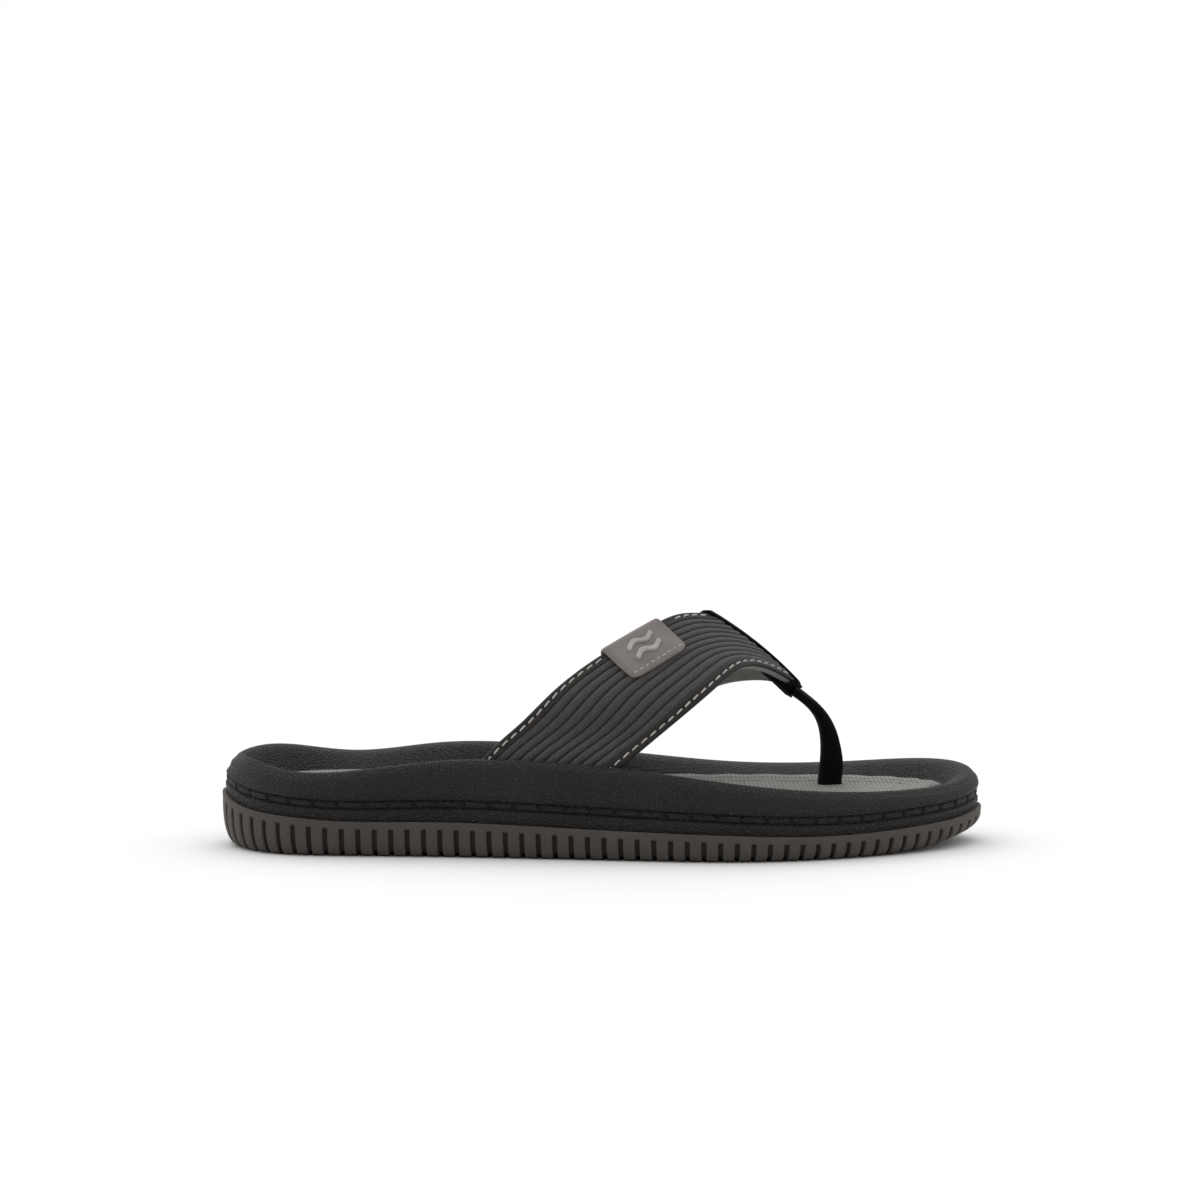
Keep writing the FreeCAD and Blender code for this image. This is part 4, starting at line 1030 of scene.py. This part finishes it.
def stitches_along(build, rows, front, skip=None):
    starts, stops = stitch_steps(rows, front, STITCH_LINE)
    for a, b in zip(starts, stops):
        if skip is not None and b > skip[0] and a < skip[1]:
            continue
        row = np.linspace(a, b, 11)
        slant = np.linspace(-0.16, 0.16, 11) * (1 if front else -1)
        share = SHEET.edge_share(row, STITCH_LINE + slant, front)
        low, high = SHEET.at(row, share, THICK + 0.12), SHEET.at(row, share, THICK + 1.12)
        add_stitch(build, low, high - low, THREAD_RADIUS)


# ---------------------------------------------------------------- tag
TAG_OFFSET, TAG_LENGTH, TAG_REACH, TAG_UNDER, TAG_THICK = 26.1, 25.8, 17.5, 9.0, 1.5


def rows_walked(start, distance):
    """The row a distance along the rear edge from another, towards the lateral end."""
    fine = np.linspace(start, 0.0, 2400)
    return float(np.interp(distance, distances(SHEET.at(fine, 0.0, 0.0)), fine))


TAG_FRONT = rows_walked(SEAM, TAG_OFFSET)
TAG_REAR = rows_walked(TAG_FRONT, TAG_LENGTH)
TAG_TOP = THICK + 0.05 + TAG_THICK


CLEAR_OF_STRAP = 0.05


def normals_of(path):
    """Unit normals of a flat path, a quarter turn clockwise from its direction."""
    tangent = unit(np.gradient(path, axis=0))
    return np.stack([tangent[:, 1], -tangent[:, 0]], 1)


def fold_path(reach, under, thick):
    """A path over the strap, round its rear edge and back underneath: distance across, height."""
    r = THICK / 2 + CLEAR_OF_STRAP + thick / 2
    over = [(d, THICK / 2 + r) for d in np.linspace(reach, 0.6, 26)]
    turn = np.linspace(0.1, math.pi - 0.1, 18)
    bend = [(0.6 - r * 0.72 * math.sin(a), THICK / 2 + r * math.cos(a)) for a in turn]
    below = [(d, THICK / 2 - r) for d in np.linspace(0.6, under, 12)]
    return np.array(over + bend + below)


def build_tag():
    path = fold_path(TAG_REACH, TAG_UNDER, TAG_THICK)
    out, length = normals_of(path), distances(path)
    out *= np.sign(out[2, 1])
    half = TAG_LENGTH / 2
    corner = 3.2
    ends = np.minimum(length, length[-1] - length)
    short = np.maximum(corner - ends, 0)
    cut_in = corner - np.sqrt(corner ** 2 - short ** 2)
    t = TAG_THICK / 2
    b = 0.45
    across = [-1] * 4 + list(np.linspace(-0.9, 0.9, 25)) + [1] * 4 + list(np.linspace(0.9, -0.9, 9))
    depth = [-t + b, 0, t - b, t - 0.1] + [t] * 25 + [t - 0.1, t - b, 0, -t + b] + [-t] * 9
    give = [0, 0, 0, b] + [0] * 25 + [b, 0, 0, 0] + [0] * 9
    across, depth, give = np.array(across), np.array(depth), np.array(give)
    wide = (half - cut_in)[:, None] * across[None] - np.sign(across)[None] * give[None]
    middle = (TAG_REAR + TAG_FRONT) / 2
    row = middle + wide / TAG_LENGTH * (TAG_FRONT - TAG_REAR)
    rounding = np.where(ends < 0.5, 0.5 - np.sqrt(np.clip(0.25 - (0.5 - ends) ** 2, 0, None)), 0)
    deep = depth[None] * (1 - rounding[:, None])
    distance = path[:, :1] + out[:, :1] * deep
    height = path[:, 1:] + out[:, 1:] * deep
    points = SHEET.square(row, distance, height)
    edge = np.exp(-((np.abs(wide) - (half - 1.4)) / 0.3) ** 2)
    return Build().grid(points, True, mark=0.25 * edge, ends=True)


EMBLEM_LENGTH, EMBLEM_BAR, EMBLEM_RISE = 12.0, 2.4, 0.8


def build_emblem():
    """Two raised wavy bars."""
    build = Build()
    middle = (TAG_REAR + TAG_FRONT) / 2
    share = np.linspace(-1, 1, 49)
    for n in (0, 1):
        start = TAG_REACH * 0.42 + (n - 0.5) * 2.1 * EMBLEM_BAR
        centre = start + 0.9 * np.sin(math.pi * 1.5 * share)
        taper = np.sqrt(np.clip(1 - np.clip((np.abs(share) - 0.86) / 0.14, 0, 1) ** 2, 0.02, 1))
        turn = np.linspace(0, math.pi, 11)
        section = np.concatenate([np.cos(turn) * EMBLEM_BAR / 2, [-0.5 * EMBLEM_BAR, 0, 0.5 * EMBLEM_BAR]])
        rise = np.concatenate([np.minimum(np.sin(turn) * 1.4, 1) * EMBLEM_RISE, [-0.2, -0.2, -0.2]])
        row = middle + share[:, None] * EMBLEM_LENGTH / 2 / TAG_LENGTH * (TAG_FRONT - TAG_REAR)
        distance = centre[:, None] + section[None] * taper[:, None]
        height = TAG_TOP + rise[None] * np.where(rise[None] > 0, taper[:, None], 1)
        build.grid(SHEET.square(row, distance, height), True, ends=True)
    return build


TAG_STITCH_PITCH, TAG_STITCH_LONG, TAG_THREAD_RADIUS = 2.7, 1.7, 0.3


def build_tag_stitches():
    build = Build()
    margin = TAG_REACH - STITCH_LINE
    rows = np.linspace(TAG_REAR, TAG_FRONT, 2000)
    walked = distances(SHEET.square(rows, margin, TAG_TOP))
    count = int((walked[-1] - TAG_STITCH_PITCH) // TAG_STITCH_PITCH)
    gap = TAG_STITCH_PITCH - TAG_STITCH_LONG
    for n in range(count):
        begin = (walked[-1] - count * TAG_STITCH_PITCH + gap) / 2 + n * TAG_STITCH_PITCH
        row = np.interp(np.linspace(begin, begin + TAG_STITCH_LONG, 9), walked, rows)
        low, high = SHEET.square(row, margin, TAG_TOP + 0.05), SHEET.square(row, margin, TAG_TOP + 1.05)
        add_stitch(build, low, high - low, TAG_THREAD_RADIUS)
    return build


# ---------------------------------------------------------------- seam strip and toe post
TAPE_HALF, TAPE_THICK, TAPE_UNDER = 2.4, 0.9, 8.0
PLY_HALF, PLY_THICK = 5.0, 1.4
ROW_AT_SEAM = np.linalg.norm(SHEET.frame(np.array([SEAM]), np.array([0.5]))[1])    # width of one row


def build_seam_strip():
    """Tape over the seam: under the rear end, round it, over the ridge and down over the front end."""
    path = fold_path(10.0, TAPE_UNDER, TAPE_THICK)[::-1]
    seam_length = np.linalg.norm(APEX - CROTCH) + 0.6
    top = THICK + CLEAR_OF_STRAP + TAPE_THICK / 2
    far = np.linspace(10.5, seam_length - 0.4, 30)
    more = np.stack([far, np.full(30, top)], 1)
    droop = np.array([(0.5, -0.25), (1.3, -0.9), (1.8, -1.9)]) + (seam_length, top)
    path = np.concatenate([path, more, droop])
    out = -normals_of(path)
    t, b = TAPE_THICK / 2, 0.35
    over, under = np.linspace(-0.94, 0.94, 17), np.linspace(0.94, -0.94, 9)
    side = np.concatenate([[-1, -1, -1], over, [1, 1, 1], under])
    depth = np.concatenate([[-t + b, 0, t - b], np.full(17, t), [t - b, 0, -t + b], np.full(9, -t)])
    hollow = 0.22 * np.exp(-((np.abs(side) - 0.72) / 0.07) ** 2) * (depth > t - 0.01)
    margin = path[:, :1] + out[:, :1] * (depth - hollow)[None]
    height = path[:, 1:] + out[:, 1:] * (depth - hollow)[None]
    row = np.broadcast_to(SEAM + TAPE_HALF * side[None] / ROW_AT_SEAM, margin.shape)
    share = SHEET.share_of(row, margin)
    share = np.where(margin > 0, share / SHEET.share_of(row, seam_length), share)
    points = SHEET.at(row, share, height)
    v = np.concatenate([TAPE_HALF * side, [-TAPE_HALF]])
    u, v = np.broadcast_arrays(distances(path)[:, None], v[None])
    return Build().grid(points, True, u, v, 2.5 * hollow[None], ends=True)


POST_LENGTH, POST_WIDTH = 9.0, 7.0
# Down the post: share of the drop, share of the way along, and its thickness and width as shares.
POST_ROWS = [
    (0.0, 0.0, 0.46, 2.0), (0.10, 0.36, 0.44, 1.95), (0.24, 0.72, 0.50, 1.6), (0.40, 0.92, 0.66, 1.3),
    (0.58, 1.02, 0.82, 1.1), (0.78, 1.05, 1.0, 1.0), (1.0, 0.98, 1.02, 1.0), (1.4, 0.98, 1.0, 1.0),
]
POST_TWIST, POST_LEAN = math.radians(14), math.radians(62)


def build_toe_post():
    base_z = float(seat(np.array(POST_ALONG), np.array(RIDGE)))
    top = APEX + np.array([0.6, 0, 0.4])
    bottom = span("toe_post", Z)[0]
    controls = []
    for share, bow, thick, wide in POST_ROWS:
        x = top[0] + (POST_ALONG - top[0]) * bow
        z = bottom if share > 1 else top[2] + (base_z - top[2]) * share
        lean = POST_LEAN * max(0.0, 1 - share / 0.6)
        half_x, half_y = POST_LENGTH * thick / 2, POST_WIDTH * wide / 2
        controls.append((x, z, half_x, half_y, lean, POST_TWIST * min(share, 1.0)))
    rows = rounded(controls, np.linspace(0, 1, 90))
    turn = np.linspace(0, 2 * np.pi, 73)[:-1]
    c, d = np.cos(turn), np.sin(turn)
    u = np.sign(c) * np.abs(c) ** 0.6
    v = np.sign(d) * np.abs(d) ** 0.6
    x, z, half_x, half_y, lean, twist = (col[:, None] for col in rows.T)
    fold = 1 - 0.055 * np.exp(-((np.abs(v) - 0.55) / 0.10) ** 2)[None] - 0.05 * np.exp(-(u / 0.12) ** 2)[None]
    fu, fv = u[None] * half_x * fold, v[None] * half_y * fold
    fu, fv = fu * np.cos(twist) - fv * np.sin(twist), fu * np.sin(twist) + fv * np.cos(twist)
    points = np.stack([x + fu * np.cos(lean), RIDGE + fv + 0 * x, z + fu * np.sin(lean)], -1)
    around = np.linspace(0, 2 * np.pi * 4.0, 73)
    down = np.linspace(0, 55, 90)
    build = Build()
    build.grid(points, True, around, down, (1 - fold) * 6, ends=True)
    half = PLY_HALF / ROW_AT_SEAM
    rows = np.linspace(SEAM - half, SEAM + half, 15)
    low = SHEET.share_of(rows, TAPE_UNDER + 1.0)
    reach = np.concatenate([np.linspace(0, 0.96, 34), np.linspace(0.965, 1, 16)])
    shares = low[None] + (1.05 - low)[None] * reach[:, None]
    sag = 0.35 * np.sin(np.linspace(0, 1, 15) * math.pi)
    turned_up = (THICK + 0.35) * ease(1.006, 1.020, shares)
    upper = SHEET.at(rows, shares, turned_up - CLEAR_OF_STRAP)
    lower = SHEET.at(rows, shares, -CLEAR_OF_STRAP - PLY_THICK - sag[None])
    loop = np.concatenate([upper, lower[:, ::-1]], 1)
    across = np.linspace(-PLY_HALF, PLY_HALF, 15)
    across = np.concatenate([across, across[::-1], across[:1]])
    build.grid(loop, True, across, 34 * reach, ends=True)
    return build


for side in SIDES:
    piece(f"{side}_ribbed_panel", build_panel(side), TEXTILE, f"{side}_strap_panel")
    piece(f"{side}_soft_lining", build_lining(side), LINING, f"{side}_strap_lining")
    padding = piece(f"{side}_foam_padding", build_padding(side), CORE, f"{side}_strap_padding")
    for end in ("rear", "front"):
        band = build_binding(side, end == "front")
        piece(f"{side}_{end}_band", band, BINDING, f"{side}_strap_{end}_binding")

CLEAR = TAPE_HALF / 12.5 + 0.08
lateral_thread, medial_thread = Build(), Build()
for edge_front in (False, True):
    skip = None if edge_front else (TAG_REAR - 0.05, TAG_FRONT + 0.05)
    stitches_along(lateral_thread, (0.75, SEAM - CLEAR), edge_front, skip)
    stitches_along(medial_thread, (SEAM + CLEAR, LAST - 0.75), edge_front)
piece("lateral_edge_stitches", lateral_thread, THREAD, "lateral_strap_stitches")
piece("medial_edge_stitches", medial_thread, THREAD, "medial_strap_stitches")
piece("folded_tag", build_tag(), TAG, "strap_tag")
piece("wave_emblem", build_emblem(), EMBLEM, "tag_emblem")
piece("tag_stitch_row", build_tag_stitches(), THREAD, "tag_stitches")
piece("ridge_tape", build_seam_strip(), WEBBING, "seam_strip")
piece("webbing_toe_post", build_toe_post(), WEBBING, "toe_post")

for node, finish in (
    ("toe_post_anchor", PLASTIC), ("lateral_strap_anchor", WEBBING), ("medial_strap_anchor", WEBBING)
):
    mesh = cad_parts[node].data
    mesh.materials.clear()
    mesh.materials.append(finish)


# ---------------------------------------------------------------- floor, light and camera
def floor_finish():
    f = Finish("studio_floor", Roughness=0.9, Specular_IOR_Level=0.1)
    cloud = f.noise(f.object, 2.0)
    return f.done(f.shades(cloud, (0.915, 0.915, 0.91, 1), (0.925, 0.925, 0.92, 1)))


def build_floor():
    x = np.array([-40000.0, 40000.0])
    points = np.stack(np.broadcast_arrays(x[None], x[:, None], np.zeros((2, 1))), -1)
    return Build().grid(points, flip=True)


floor = in_scene("studio_floor", build_floor().mesh("studio_floor"))
floor.data.materials.append(floor_finish())


def sun(name, direction, strength, spread):
    """A soft light from a direction, spread over an angle in degrees."""
    data = bpy.data.lights.new(name, "SUN")
    data.energy, data.angle = strength, math.radians(spread)
    in_scene(name, data).rotation_euler = Vector(direction).to_track_quat("Z", "Y").to_euler()


sun("overhead", (-0.15, 0.35, 1.0), 0.75, 70.0)

# The studio is white above and behind the object and dimmer on the camera's side.
world = bpy.data.worlds.new("studio")
world.use_nodes = True
nodes, links = world.node_tree.nodes, world.node_tree.links
direction = nodes.new("ShaderNodeTexCoord").outputs["Generated"]
toward = nodes.new("ShaderNodeVectorMath")
toward.operation = "DOT_PRODUCT"
toward.inputs[1].default_value = (0.0, 1.0, 0.75)
links.new(direction, toward.inputs[0])
shade = nodes.new("ShaderNodeMapRange")
shade.interpolation_type = "SMOOTHSTEP"
for key, value in (("From Min", -0.75), ("From Max", 0.25), ("To Min", 0.22), ("To Max", 1.0)):
    shade.inputs[key].default_value = value
links.new(toward.outputs["Value"], shade.inputs["Value"])
links.new(shade.outputs["Result"], nodes["Background"].inputs["Color"])
bpy.context.scene.world = world
bpy.context.scene.view_settings.view_transform = "Standard"

CAMERA_RISE = math.radians(6.74)
CAMERA_AWAY = 1.067
CAMERA_DIP, CAMERA_TURN = 3.366, 0.0716          # degrees down and to the side
AIM = np.array([0.0, 0.0, 0.030])
eye = AIM + CAMERA_AWAY * np.array([0.0, -math.cos(CAMERA_RISE), math.sin(CAMERA_RISE)])
data = bpy.data.cameras.new("photo_angle")
data.lens, data.sensor_width = 83.75, 36.0
camera = in_scene("photo_angle", data)
camera.location = eye
camera.rotation_euler = (math.pi / 2 - math.radians(CAMERA_DIP), 0.0, math.radians(CAMERA_TURN))
bpy.context.scene.camera = camera
